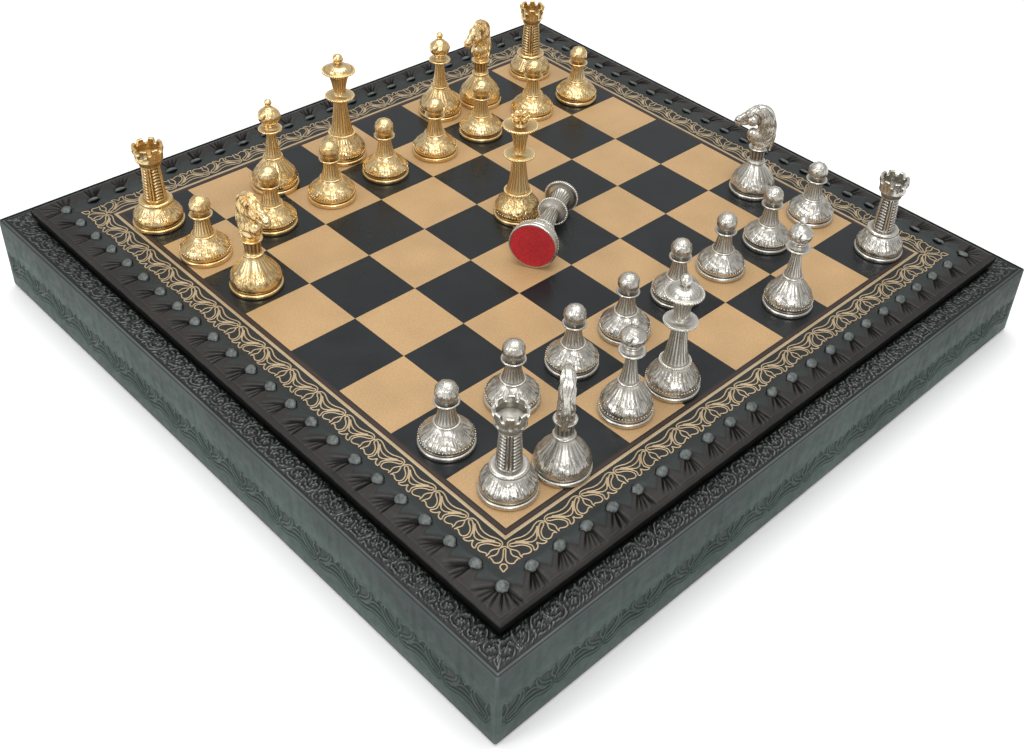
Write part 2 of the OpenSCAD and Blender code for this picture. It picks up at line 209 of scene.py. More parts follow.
def timber(name, grain_scale):
    material, tree, shader = shader_parts(name)
    place = object_place(tree)
    stretch = add_node(tree, "ShaderNodeMapping", Scale=grain_scale)
    tree.links.new(place, stretch.inputs["Vector"])
    rings = noise_node(tree, stretch.outputs["Vector"], 60, 6, 1.2)
    pores = noise_node(tree, stretch.outputs["Vector"], 420, 2)
    colour = ramp_node(tree, rings, [(0.3, wood_dark), (0.5, wood_pale), (0.75, wood_palest)])
    speck = ramp_node(tree, pores, [(0.35, grey(0.7)), (0.5, grey(1))])
    tree.links.new(mix_colours(tree, 0.6, colour, speck, "MULTIPLY"), shader.inputs["Base Color"])
    tree.links.new(ramp_node(tree, pores, [(0.3, grey(0.75)), (0.7, grey(0.55))]),
                   shader.inputs["Roughness"])
    tree.links.new(bump_node(tree, pores, 0.0002, 0.6), shader.inputs["Normal"])
    return material


def refinish(node, material):
    """Gives a CAD node a new material and leaves its shape alone."""
    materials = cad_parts[node].data.materials
    materials.clear()
    materials.append(material)


timber_along_x = timber("timber_along_x", (0.12, 1, 1))
timber_along_y = timber("timber_along_y", (1, 0.12, 1))
for node in ("wall_front", "wall_back", "base_panel", "board_panel", "divider_long"):
    refinish(node, timber_along_x)
for node in ("wall_left", "wall_right", "divider_cross", "locating_strips"):
    refinish(node, timber_along_y)

# ---- Felts ----
# Pressed wool felt, glued down: black under the box, green in the compartments and under the board.
# Flat CAD sheets with a fibrous, matt surface.


def felt(name, colour, lint):
    material, tree, shader = shader_parts(name)
    place = object_place(tree)
    fibres = noise_node(tree, place, 900, 4, 3.0)
    clouds = noise_node(tree, place, 60, 3)
    blend = mix_colours(tree, ramp_node(tree, fibres, [(0.42, grey(0)), (0.68, grey(1))]), colour, lint)
    shade = ramp_node(tree, clouds, [(0.3, grey(0.75)), (0.7, grey(1))])
    tree.links.new(mix_colours(tree, 1.0, blend, shade, "MULTIPLY"), shader.inputs["Base Color"])
    shader.inputs["Roughness"].default_value = 0.95
    shader.inputs["Specular IOR Level"].default_value = 0.1
    shader.inputs["Sheen Weight"].default_value = 0.3
    tree.links.new(bump_node(tree, fibres, 0.0004, 0.7), shader.inputs["Normal"])
    return material


green_felt = felt("green_felt", (0.012, 0.06, 0.03, 1), (0.03, 0.12, 0.06, 1))
black_felt = felt("black_felt", (0.01, 0.01, 0.01, 1), (0.04, 0.04, 0.04, 1))
for node, material in (("floor_felt", green_felt), ("board_felt", green_felt), ("foot_felt", black_felt)):
    refinish(node, material)

# ---- Side cover with its garland ----
# Bonded leather glued on the four walls, with a seam at each corner and its edges turned over. A
# running palmette is pressed into it with a hot plate: thin ridges stand between hollow leaves. The
# hollows, the groove under the garland and the top edge are painted dark as shade.
cover_thick = 1 * mm
corner_round = 0.9 * mm
garland_foot = 9.8 * mm
garland_pitch = 24.4 * mm
garland_bays = 14
press_depth = 0.62
leather_side = (0.040, 0.065, 0.057, 1)
leather_side_shade = (0.006, 0.010, 0.0095, 1)
leather_side_wear_highlight = (0.085, 0.11, 0.104, 1)
cover_low, cover_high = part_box("side_cover")
box_half = cover_high.x
side_names = ("front", "right", "back", "left")


def leather(name, body, dark, light, grain=0.12, gloss=0.42, specular=0.35):
    """Bonded leather: pebbled grain, wear and a painted highlight on the edges that stand up, painted shade
    in its hollows and grooves.
    """
    material, tree, shader = shader_parts(name)
    place = object_place(tree)
    pebbles = add_node(tree, "ShaderNodeTexVoronoi", feature="SMOOTH_F1", Scale=1300.0)
    tree.links.new(place, pebbles.inputs["Vector"])
    wrinkles = noise_node(tree, place, 260, 4, 0.6)
    stains = noise_node(tree, place, 22, 4)
    raised = pointiness(tree)
    # Wear and painted highlight: edges that stand up are lighter; the stored layer paints shade into
    # hollows and grooves.
    wear_and_painted_light = ramp_node(tree, raised, [(0.505, grey(0)), (0.56, grey(1))])
    press_shade = layer_node(tree, "relief_shade")
    shaded_and_worn = mix_colours(tree, wear_and_painted_light, mix_colours(tree, press_shade, body, dark), light)
    cloud = ramp_node(tree, stains, [(0.3, grey(0.72)), (0.7, grey(1.15))])
    tree.links.new(mix_colours(tree, 1.0, shaded_and_worn, cloud, "MULTIPLY"), shader.inputs["Base Color"])
    rough = ramp_node(tree, wrinkles, [(0.35, grey(gloss - 0.06)), (0.65, grey(gloss + 0.1))])
    tree.links.new(rough, shader.inputs["Roughness"])
    shader.inputs["Specular IOR Level"].default_value = specular
    fine = bump_node(tree, pebbles.outputs["Distance"], 0.0002, grain)
    tree.links.new(bump_node(tree, wrinkles, 0.0003, grain, fine), shader.inputs["Normal"])
    return material


def edit_all():
    bpy.ops.object.mode_set(mode="EDIT")
    bpy.ops.mesh.select_all(action="SELECT")


def done():
    bpy.ops.object.mode_set(mode="OBJECT")


def choose(piece, kind, test):
    """Selects in edit mode the faces, edges or vertices whose middle and normal pass the test."""
    done()
    mesh = piece.data
    for group in (mesh.vertices, mesh.edges, mesh.polygons):
        group.foreach_set("select", np.zeros(len(group), bool))
    if kind == "FACE":
        mesh.polygons.foreach_set("select", [test(f.center, f.normal) for f in mesh.polygons])
    elif kind == "EDGE":
        for edge in mesh.edges:
            ends = [mesh.vertices[v].co for v in edge.vertices]
            edge.select = test(*ends)
    else:
        mesh.vertices.foreach_set("select", [test(v.co, v.normal) for v in mesh.vertices])
    modes = (kind == "VERT", kind == "EDGE", kind == "FACE")
    bpy.context.tool_settings.mesh_select_mode = modes
    bpy.ops.object.mode_set(mode="EDIT")


def apply_modifier(piece, kind, **settings):
    made = piece.modifiers.new(kind.lower(), kind)
    for key, value in settings.items():
        setattr(made, key, value)
    bpy.context.view_layer.objects.active = piece
    bpy.ops.object.modifier_apply(modifier=made.name)


def only(piece):
    bpy.ops.object.select_all(action="DESELECT")
    piece.select_set(True)
    bpy.context.view_layer.objects.active = piece


def bake_place(piece):
    only(piece)
    bpy.ops.object.transform_apply(location=True, rotation=True, scale=True)


def read_points(piece):
    flat = np.empty(len(piece.data.vertices) * 3)
    piece.data.vertices.foreach_get("co", flat)
    return flat.reshape(-1, 3)


def write_points(piece, points):
    piece.data.vertices.foreach_set("co", np.ascontiguousarray(points, dtype=float).ravel())
    piece.data.update()


def note_layer(piece, name, values):
    """Stores one value for each corner point, for the materials to read."""
    layer = piece.data.attributes.new(name, "FLOAT", "POINT")
    layer.data.foreach_set("value", np.ascontiguousarray(values, dtype=np.float32).ravel())


def new_piece(name, points, faces, edges=()):
    mesh = bpy.data.meshes.new(name)
    mesh.from_pydata(points, edges, faces)
    piece = bpy.data.objects.new(name, mesh)
    bpy.context.collection.objects.link(piece)
    return piece


def spread(master, places, name):
    """One new mesh piece that holds a copy of the master's mesh at each place."""
    corners = np.ones((len(master.data.vertices), 4))
    corners[:, :3] = read_points(master)
    faces = [tuple(f.vertices) for f in master.data.polygons]
    points = []
    polygons = []
    for place in places:
        start = len(points) * len(corners)
        points.append((corners @ np.array(place).T)[:, :3])
        turn = 1 if place.determinant() > 0 else -1
        polygons += [tuple(start + v for v in f[::turn]) for f in faces]
    piece = new_piece(name, np.concatenate(points).tolist(), polygons)
    piece.data.polygons.foreach_set("use_smooth", np.ones(len(polygons), bool))
    return piece


def drop(master):
    bpy.data.objects.remove(master)


def smooth_line(points, steps=5):
    """Points along a smooth curve through the given ones."""
    ends = [points[0]] + list(points) + [points[-1]]
    line = []
    for a, b, c, d in zip(ends, ends[1:], ends[2:], ends[3:]):
        for step in range(steps):
            t = step / steps
            line.append(tuple(
                0.5 * (2 * q + (r - p) * t + (2 * p - 5 * q + 4 * r - s) * t * t
                       + (3 * q - p - 3 * r + s) * t ** 3)
                for p, q, r, s in zip(a, b, c, d)
            ))
    return line + [tuple(points[-1])]


# One bay of the running palmette in mm, from its middle to a knot and upwards from its contour. It is
# pressed large into the walls and printed small in foil on the board. Its other half is a mirror image.
knot_pitch = 18.33
half_bay = [
    # contour that dips between two knots, and half of the lens under a knot
    [(0, 1.75), (2.3, 1.4), (4.4, 0.55), (6.0, 0.05), (7.4, 0.05), (8.4, 0.6), (8.95, 1.6), (9.16, 2.8),
     (8.5, 3.9), (7.95, 5.0), (7.9, 6.1), (8.4, 7.3), (8.55, 8.7)],
    # large lobe, back to a round tip near the knot and down the long stalk to the foot
    [(8.5, 8.0), (7.4, 7.75), (6.3, 8.35), (5.2, 8.75), (4.1, 8.5), (3.45, 7.5), (3.5, 6.3), (4.3, 4.8),
     (5.7, 3.6), (7.3, 2.8), (8.15, 2.0), (7.9, 1.2), (7.1, 1.25), (5.6, 2.2), (4.0, 3.7), (2.8, 5.4),
     (2.2, 6.8), (2.5, 7.9), (3.2, 9.0)],
    # scallops between the feet
    [(3.2, 9.0), (2.4, 9.25), (1.4, 8.95), (0.55, 8.1), (0.1, 7.0)],
    # two swags, and the solid wedge where they meet
    [(0, 3.75), (1.6, 3.55), (3.5, 2.75), (5.3, 1.6)],
    [(0, 5.85), (1.2, 5.55), (2.4, 4.5), (3.9, 2.9), (5.6, 1.75)],
    [(5.5, 1.5), (4.1, 2.75), (3.1, 4.0), (2.4, 5.2)],
    [(6.3, 1.55), (4.7, 2.75), (3.4, 4.2), (2.5, 5.7)],
]


def relief_shade(along, up):
    """Height in mm of the pressed palmette and its painted shade (0 to 1) at places along and up a wall."""
    scale = garland_pitch / knot_pitch
    aside = np.abs(np.mod(along, garland_pitch) - garland_pitch / 2) / scale
    lift = (up - garland_foot) / scale
    drawn = np.array([point for line in half_bay for point in smooth_line(line, 14)])
    drawn = np.concatenate([drawn, drawn * (-1, 1), drawn * (-1, 1) + (knot_pitch, 0)])
    drawn = drawn[(drawn[:, 0] > -1.5) & (drawn[:, 0] < knot_pitch / 2 + 1.5)]
    near = np.full(aside.shape, 9.0)
    for x, y in drawn:
        near = np.minimum(near, (aside - x) ** 2 + (lift - y) ** 2)
    contour = np.array(smooth_line(half_bay[0][:8]))
    below = lift - np.interp(aside, contour[:, 0], contour[:, 1])
    ends = np.clip((garland_bays / 2 * garland_pitch + 1 * mm - np.abs(along)) / (0.5 * mm), 0, 1)
    ridge = np.exp(-near / 0.3 ** 2) * ends
    scallops = np.array(half_bay[2][::-1] + [(3.35, 7.8)] + half_bay[1][4::-1] + [(8.6, 8.7), (9.17, 8.7)])
    above = np.interp(aside, scallops[:, 0], scallops[:, 1]) - lift
    field = np.clip(below / 0.4, 0, 1) * np.clip(above / 0.3, 0, 1) * ends
    # Painted shade: darkest in the hollows next to the ridges, and along the groove under the contour.
    ridge_side_shade = 0.55 + 0.45 * np.exp(-near / 0.7 ** 2)
    groove = np.exp(-(((below + 0.75) / 0.36) ** 2)) * ends
    hollow = np.clip(ridge_side_shade * field * (1 - ridge) + 0.8 * groove, 0, 1)
    return press_depth * (0.3 * ridge - hollow), hollow


flat_half = box_half - corner_round
arc = np.linspace(0, math.pi / 4, 5)[1:]
columns = np.linspace(-flat_half, flat_half, 790)
arc_along = flat_half + corner_round * np.sin(arc)
column_along = np.concatenate([-arc_along[::-1], columns, arc_along])
arc_reach = flat_half + corner_round * np.cos(arc)
column_reach = np.concatenate([arc_reach[::-1], np.full(len(columns), box_half), arc_reach])
edge = 0.4 * mm
edge_in = np.array([-cover_thick, -edge, -0.12 * mm, 0])
edge_up = np.array([0, 0, 0.12 * mm, edge])
band = np.linspace(garland_foot - 2 * mm, garland_foot + 13 * mm, 42)
row_up = np.concatenate([cover_low.z + edge_up, band, cover_high.z - edge_up[::-1]])
row_in = np.concatenate([edge_in, 0 * band, edge_in[::-1]])
grid_along, grid_up = np.meshgrid(column_along, row_up)
relief, hollow = relief_shade(grid_along, grid_up)
# Painted shade along the top edge, where the wall meets the ledge.
hollow = np.maximum(hollow, np.clip((grid_up - cover_high.z + 0.7 * mm) / (0.3 * mm), 0, 1))
reach = column_reach[None, :] + row_in[:, None] + relief * mm
grid_along = grid_along * (1 + row_in[:, None] / box_half)
side_leather = leather("leatherette_side", leather_side, leather_side_shade, leather_side_wear_highlight,
                       grain=0.14, gloss=0.5, specular=0.22)
for side, name in enumerate(side_names):
    bpy.ops.mesh.primitive_grid_add(x_subdivisions=len(column_along) - 1, y_subdivisions=len(row_up) - 1)
    panel = bpy.context.object
    panel.name = "pressed_side_" + name
    turn = np.array(Matrix.Rotation(math.pi / 2 * side, 3, "Z"))
    write_points(panel, np.stack([grid_along, -reach, grid_up], -1).reshape(-1, 3) @ turn.T)
    note_layer(panel, "relief_shade", hollow)
    only(panel)
    bpy.ops.object.shade_smooth()
    panel.data.materials.append(side_leather)
    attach(panel, "box")
    if side == 0:
        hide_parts("side_cover")

# ---- Ledge cover ----
# A second strip of bonded leather on top of the walls, mitred at the corners. It is tooled with small
# five-petalled flowers and curls between them, up to a groove beside the outer edge. Painted shade darkens
# the low tooling, the grooves and the inner band beside the board.
ledge_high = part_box("ledge_cover")[1]
board_edge = -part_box("edge_roll_front")[0].y
ledge_inner = board_edge - 3.7 * mm
tooling_step = 0.42 * mm
tooling_depth = 0.55 * mm
flower_pitch = 7.8 * mm
groove_in = 1.6 * mm
leather_ledge = (0.010, 0.0125, 0.012, 1)
leather_ledge_shade = (0.0015, 0.002, 0.002, 1)
leather_ledge_wear_highlight = (0.17, 0.185, 0.175, 1)


def clamp(*values):
    """The smallest of the values, kept between 0 and 1."""
    return max(0.0, min(1.0, *values))


def quarter_turn(side):
    return Matrix.Rotation(math.pi / 2 * side, 4, "Z")


def tooled_height(along, across):
    """Height of the tooling, from 0 to 1: five-petalled flowers in a zigzag row with curls between."""
    cell = round(along / flower_pitch)
    middle = 0.7 * mm * (1 if cell % 2 else -1)
    du = along - cell * flower_pitch
    dv = across - middle
    reach = math.hypot(du, dv) / mm
    angle = math.atan2(dv, du)
    flower = clamp((1.5 + 0.5 * math.cos(5 * angle + 1.9 * cell) - reach) / 0.5)
    flower -= 0.7 * math.exp(-((reach / 0.4) ** 2))
    drift = noise.noise(Vector((along, across, 3 * mm)) / (2.6 * mm))
    swirl = math.sin(reach * 3.9 - 3 * angle + 3.4 * drift + 1.3 * math.sin(cell * 1.7))
    warp = noise.noise(Vector((along, across, 0)) / (0.95 * mm))
    curls = max(0.0, 1.3 * swirl + 1.7 * warp) * clamp((reach - 2.1) / 0.5)
    return min(1.0, max(flower, 0.85 * min(1.0, curls)))


ledge_strips = []
half = box_half - cover_thick
steps_along = int(2 * half / tooling_step)
steps_across = 28
tooled_from = ledge_inner + 3.2 * mm
tooled_to = half - groove_in - 0.6 * mm
tooled_middle = (tooled_from + tooled_to) / 2
for side in range(4):
    bpy.ops.mesh.primitive_grid_add(x_subdivisions=steps_along, y_subdivisions=steps_across, size=2)
    strip = bpy.context.object
    turn = quarter_turn(side)
    ledge_shade = []
    for point in strip.data.vertices:
        reach = ledge_inner + (half - ledge_inner) * (0.5 - point.co.y / 2)
        along = point.co.x * reach
        fade = clamp((reach - tooled_from) / (0.5 * mm), (tooled_to - reach) / (0.5 * mm))
        tooling = tooled_height(along, reach - tooled_middle) if fade > 0 else 0
        height = ledge_high.z - tooling_depth * 0.4 + tooling_depth * fade * tooling
        groove = math.exp(-(((reach - (half - groove_in)) / (0.3 * mm)) ** 2))
        groove += math.exp(-(((reach - (half - 0.1 * mm)) / (0.45 * mm)) ** 2))
        point.co = turn @ Vector((along, -reach, height - 0.35 * mm * groove))
        # Painted shade: the low tooling, both grooves and the whole inner band beside the board are
        # darkened.
        ledge_shade.append(min(1.0, fade * (1 - 1.4 * tooling) + 1.2 * groove + (reach < tooled_from)))
    note_layer(strip, "relief_shade", np.clip(ledge_shade, 0, 1))
    ledge_strips.append(strip)
for strip in ledge_strips:
    strip.select_set(True)
bpy.context.view_layer.objects.active = ledge_strips[0]
bpy.ops.object.join()
ledge_skin = bpy.context.object
ledge_skin.name = "tooled_ledge"
edit_all()
bpy.ops.mesh.remove_doubles(threshold=0.05 * mm)
bpy.ops.mesh.select_all(action="DESELECT")
bpy.ops.mesh.select_mode(type="EDGE")
bpy.ops.mesh.select_non_manifold()
bpy.ops.mesh.extrude_edges_move(TRANSFORM_OT_translate={"value": (0, 0, -0.6 * mm)})
done()
only(ledge_skin)
bpy.ops.object.shade_smooth()
ledge_skin.data.materials.append(
    leather("leatherette_ledge", leather_ledge, leather_ledge_shade, leather_ledge_wear_highlight,
            grain=0.1, gloss=0.4, specular=0.3))
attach(ledge_skin, "box")
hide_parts("ledge_cover")

# ---- Playing sheet ----
# Bonded leather, printed with 64 squares in black and bronze, a brown line and a gold line round
# them and a running border of palmettes in gold foil. It is glued flat on the board's core.
sheet_low, sheet_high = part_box("playing_sheet")
sheet_half = sheet_high.x
border_w = 15 * mm
field_half = sheet_half - border_w
play_z = sheet_high.z
square = field_half / 4
bronze = (0.43, 0.272, 0.127, 1)
ink = (0.007, 0.0095, 0.0105, 1)
border_ground = (0.013, 0.015, 0.0145, 1)
brown_line = (0.035, 0.012, 0.006, 1)
foil_gold = (0.42, 0.315, 0.185, 1)
foil_height = 0.06 * mm
gold_line_at = 135.2 * mm
gold_line_w = 1.4 * mm
brown_line_at = field_half + 1.3 * mm
brown_line_w = 1.1 * mm


def printed(name, colour, gloss, mottle=0.15, metallic=0.0, specular=0.4):
    """Printed leatherette: flat ink with faint clouds, fine grain and slightly uneven gloss."""
    material, tree, shader = shader_parts(name)
    place = object_place(tree)
    clouds = noise_node(tree, place, 45, 5)
    grain = noise_node(tree, place, 1500, 3)
    waves = noise_node(tree, place, 28, 2)
    shade = ramp_node(tree, clouds, [(0.3, grey(1 - mottle)), (0.7, grey(1 + mottle))])
    speck = ramp_node(tree, grain, [(0.35, grey(0.86)), (0.6, grey(1.04))])
    toned = mix_colours(tree, 1.0, colour, shade, "MULTIPLY")
    tree.links.new(mix_colours(tree, 1.0, toned, speck, "MULTIPLY"), shader.inputs["Base Color"])
    tree.links.new(ramp_node(tree, clouds, [(0.3, grey(gloss - 0.05)), (0.7, grey(gloss + 0.07))]),
                   shader.inputs["Roughness"])
    shader.inputs["Metallic"].default_value = metallic
    shader.inputs["Specular IOR Level"].default_value = specular
    fine = bump_node(tree, grain, 0.0001, 0.22)
    tree.links.new(bump_node(tree, waves, 0.0012, 0.25, fine), shader.inputs["Normal"])
    return material


bpy.ops.mesh.primitive_grid_add(x_subdivisions=8, y_subdivisions=8, size=2 * field_half,
                                location=(0, 0, play_z))
sheet = bpy.context.object
sheet.name = "printed_sheet"
bake_place(sheet)
sheet.data.materials.append(printed("square_bronze", bronze, 0.40, 0.07, specular=0.42))
sheet.data.materials.append(printed("square_black", ink, 0.27, 0.15, specular=0.38))
sheet.data.materials.append(printed("border_black", border_ground, 0.42, 0.25, specular=0.3))
for face in sheet.data.polygons:
    column = math.floor(face.center.x / square)
    row = math.floor(face.center.y / square)
    face.material_index = (column + row) % 2
edit_all()
bpy.ops.mesh.region_to_loop()
sheet.active_material_index = 2
bpy.ops.mesh.extrude_edges_move(TRANSFORM_OT_translate={"value": (0, 0, 0)})
widen = sheet_half / field_half
bpy.ops.transform.resize(value=(widen, widen, 1))
bpy.ops.mesh.extrude_edges_move(TRANSFORM_OT_translate={"value": (0, 0, sheet_low.z - play_z)})
done()
for face in sheet.data.polygons:
    if max(abs(face.center.x), abs(face.center.y)) > field_half or abs(face.normal.z) < 0.5:
        face.material_index = 2
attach(sheet, "board")
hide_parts("playing_sheet")


def foil_band(line, width, height):
    """Points and faces of a low crowned band of foil along a line."""
    points = []
    faces = []
    for k, (x, y) in enumerate(line):
        before = Vector(line[max(k - 1, 0)])
        after = Vector(line[min(k + 1, len(line) - 1)])
        along = (after - before).normalized()
        side = Vector((-along.y, along.x)) * width / 2
        points += [(x - side.x, y - side.y, 0), (x, y, height), (x + side.x, y + side.y, 0)]
        if k:
            n = 3 * k
            faces += [(n - 3, n, n + 1, n - 2), (n - 2, n + 1, n + 2, n - 1)]
    return points, faces


def foil_object(name, lines, width, height):
    """Foil bands along several lines, as one mesh. Their faces look up."""
    points = []
    faces = []
    for line in lines:
        band_points, band_faces = foil_band(line, width, height)
        faces += [tuple(v + len(points) for v in face) for face in band_faces]
        points += band_points
    return new_piece(name, points, faces)


border_row = 137.35 * mm
foil_width = 0.52
bays_per_side = 15
foil_z = play_z + 0.01 * mm
bay = half_bay + [[(-x, y) for x, y in line] for line in half_bay]
palmette_foil = foil_object("palmette", [smooth_line(line) for line in bay], foil_width, 0.1)
# Half of a corner, in mm outwards along both sides: contour, lens, drop and little diamond
half_corner = [
    [(0.72, 0.72), (0.4, 1.3), (0.15, 2.8), (0.85, 3.9), (1.35, 5.0), (1.3, 6.2), (0.75, 7.3), (0.6, 8.7)],
    [(1.35, 1.35), (1.45, 2.0), (2.5, 3.1), (3.9, 4.6), (4.9, 6.2), (4.7, 7.6), (3.6, 8.5), (2.4, 8.2),
     (1.1, 8.0)],
    [(9.0, 9.0), (7.6, 8.7), (6.5, 8.3), (6.0, 7.1), (6.4, 6.4)],
]
corner_lines = half_corner + [[(y, x) for x, y in line] for line in half_corner]
corner_foil = foil_object("corner_fan", [smooth_line(line) for line in corner_lines], foil_width, 0.1)
outwards = Matrix.Diagonal((-mm, -mm, mm, 1))
palmette_places = []
corner_places = []
for side in range(4):
    turn = quarter_turn(side)
    for k in range(bays_per_side):
        middle = (k - (bays_per_side - 1) / 2) * knot_pitch * mm
        palmette_places.append(turn @ Matrix.Translation((middle, -border_row, foil_z)) @ outwards)
    corner_places.append(turn @ Matrix.Translation((-border_row, -border_row, foil_z)) @ outwards)
palmettes = spread(palmette_foil, palmette_places, "palmettes")
corner_fans = spread(corner_foil, corner_places, "corner_fans")
drop(palmette_foil)
drop(corner_foil)


def square_line(name, half, width, height):
    """A mitred line printed round the board at one distance from its middle."""
    corners = [(half, -half), (half, half), (-half, half), (-half, -half)]
    points = []
    faces = []
    for k, (x, y) in enumerate(corners):
        for offset, rise in ((-width / 2, 0), (0, height), (width / 2, 0)):
            grow = (half + offset) / half
            points.append((x * grow, y * grow, foil_z + rise))
        n, m = 3 * k, 3 * ((k + 1) % 4)
        faces += [(n, n + 1, m + 1, m), (n + 1, n + 2, m + 2, m + 1)]
    return new_piece(name, points, faces)


gold_line = square_line("gold_line", gold_line_at, gold_line_w, foil_height)
brown_edge = square_line("brown_line", brown_line_at, brown_line_w, foil_height / 2)
gold_foil = printed("gold_foil", foil_gold, 0.38, 0.12, metallic=0.35, specular=0.5)
for piece in (palmettes, corner_fans, gold_line):
    piece.data.materials.append(gold_foil)
brown_edge.data.materials.append(printed("brown_print", brown_line, 0.4))
for piece in (palmettes, corner_fans, gold_line, brown_edge):
    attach(piece, "board")

# ---- Edge rolls ----
# Soft dark bonded leather over a padded core, gathered under the studs so that creases run from each
# stud to the outer edge. Each side is one strip, mitred at the corners and turned under the board. The
# creases and the underside are painted near black as shade.
roll_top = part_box("edge_roll_front")[1].z
roll_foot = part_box("edge_roll_front")[0].z
stud_row = sheet_half + 4.2 * mm
studs_per_side = 22
stud_pitch = 2 * stud_row / studs_per_side
roll_round = 2.0 * mm
steps_per_stud = 38
steps_over_roll = 44
crease_cut = 1.3
crease_length = 12
dimple_depth = 0.5
dimple_reach = 3.3
pleat_height = 0.38
puff_height = 0.22
# Tones of the roll leather: painted shade for hollows, and wear with a painted highlight for ridges.
roll_leather_hollow_shade = (0.004, 0.0035, 0.0035, 1)
roll_leather_worn_highlight = (0.035, 0.030, 0.026, 1)
roll_smooth_hollow_shade = (0.011, 0.0145, 0.0145, 1)
roll_smooth_worn_highlight = (0.033, 0.040, 0.039, 1)
draw = random.Random(7)
fan = [(-45, -34, -24, -13, -1)] * (studs_per_side + 1)
fan[0] = (-44, -26, -9, 8)
fan[studs_per_side] = (-36, -20, -2, 20, 42)
crease_angles = [[math.radians(a + draw.uniform(-4, 4)) for a in angles] for angles in fan]
crease_depths = [[draw.uniform(0.45, 1.0) for a in angles] for angles in fan]


def crease(along, out):
    """Depth in mm of the gathers at a place on the roll: creases fan out from the nearest studs."""
    depth = 0.0
    nearest = round((along + stud_row) / stud_pitch)
    for k in (nearest - 1, nearest, nearest + 1):
        du = along - (k * stud_pitch - stud_row)
        dv = out - stud_row
        reach = math.hypot(du, dv) / mm
        if not 0 <= k <= studs_per_side or dv < -1.5 * mm or reach > crease_length:
            continue
        angle = math.atan2(du, dv)
        fade = math.exp(-((reach / 9.5) ** 4)) * min(1.0, reach / 2.2)
        for middle, share in zip(crease_angles[k], crease_depths[k]):
            width = 0.03 + 0.19 / max(reach, 1.0)
            depth += crease_cut * share * fade * math.exp(-(((angle - middle) / width) ** 2))
        if k == nearest:
            depth += dimple_depth * math.exp(-((reach / dimple_reach) ** 4))
    return depth


def roll_section(t):
    """Distance from the sheet and height, both in mm, along the section from inside (0) to under (1)."""
    width = (board_edge - sheet_half) / mm
    top = (roll_top - play_z) / mm
    bend = roll_round / mm
    flat_part = 0.62
    round_part = 0.24
    if t < flat_part:
        s = t / flat_part
        swell = math.sin(math.pi * min(1.0, s * 1.15)) * 0.28
        return (-0.6 + (width - bend + 0.6) * s, -0.12 + (top + 0.12) * min(1.0, s * 4) + swell)
    if t < flat_part + round_part:
        angle = math.pi / 2 * (1 - (t - flat_part) / round_part)
        return (width - bend + bend * math.cos(angle), top - bend + bend * math.sin(angle))
    s = (t - flat_part - round_part) / (1 - flat_part - round_part)
    drop_to = (roll_foot - play_z) / mm
    return (width - 1.4 * s * s, top - bend + (drop_to - top + bend) * s)


rolls = []
for side, name in enumerate(side_names):
    turn = quarter_turn(side)
    bpy.ops.mesh.primitive_grid_add(x_subdivisions=studs_per_side * steps_per_stud,
                                    y_subdivisions=steps_over_roll, size=2)
    roll = bpy.context.object
    roll.name = "gathered_roll_" + name
    pleats = []
    fold_shade = []
    for point in roll.data.vertices:
        out_mm, up_mm = roll_section(0.5 - point.co.y / 2)
        out = sheet_half + out_mm * mm
        along = point.co.x * out
        wobble = noise.noise(Vector((along, out, side)) / (6 * mm)) * puff_height
        on_top = clamp((roll_top - play_z) / mm + up_mm)
        near_edge = clamp(out_mm / 2.0)
        from_stud = (along + stud_row) / stud_pitch % 1
        notch = (from_stud - 0.15) / 0.21 if from_stud < 0.36 else (0.8 - from_stud) / 0.44
        pleat = 1 / (1 + math.exp(-(out_mm - 4.3 - 5.0 * max(0.0, notch)) * 6.0))
        fold = crease(along, out)
        lift = near_edge * (pleat_height * pleat + wobble - fold * min(1.0, on_top + 0.25))
        if out_mm > (board_edge - sheet_half - roll_round) / mm:
            spot = Vector((along, -out + lift * 0.5 * mm, play_z + (up_mm + lift * 0.4) * mm))
        else:
            spot = Vector((along, -out, play_z + (up_mm + lift) * mm))
        point.co = turn @ spot
        pleats.append(pleat)
        # Painted shade: dark in the creases and on the underside of the roll, stored in the crease layer.
        fold_shade.append(clamp((fold - 0.12) * 2.4) + clamp((-0.6 - up_mm) / 0.9))
    note_layer(roll, "gather", pleats)
    note_layer(roll, "crease", fold_shade)
    only(roll)
    bpy.ops.object.shade_smooth()
    rolls.append(roll)

roll_leather, tree, shader = shader_parts("gathered_leatherette")
place = object_place(tree)
gather = layer_node(tree, "gather")
raised = pointiness(tree)
crinkle = noise_node(tree, place, 330, 5, 0.8)
blotch = noise_node(tree, place, 30, 4)
# Wear and painted light: ridges lighter, hollows painted darker as shade.
wear_and_painted_light = ramp_node(tree, raised, [(0.44, grey(0)), (0.5, grey(0.45)), (0.57, grey(1))])
brown = mix_colours(tree, wear_and_painted_light, roll_leather_hollow_shade, roll_leather_worn_highlight)
smooth_part = mix_colours(tree, wear_and_painted_light, roll_smooth_hollow_shade, roll_smooth_worn_highlight)
gathered_share = ramp_node(tree, gather, [(0.35, grey(0)), (0.65, grey(1))])
two_tone = mix_colours(tree, gathered_share, smooth_part, brown)
shade = ramp_node(tree, blotch, [(0.3, grey(0.7)), (0.7, grey(1.2))])
fold_shade_layer = layer_node(tree, "crease")
toned = mix_colours(tree, 1.0, two_tone, shade, "MULTIPLY")
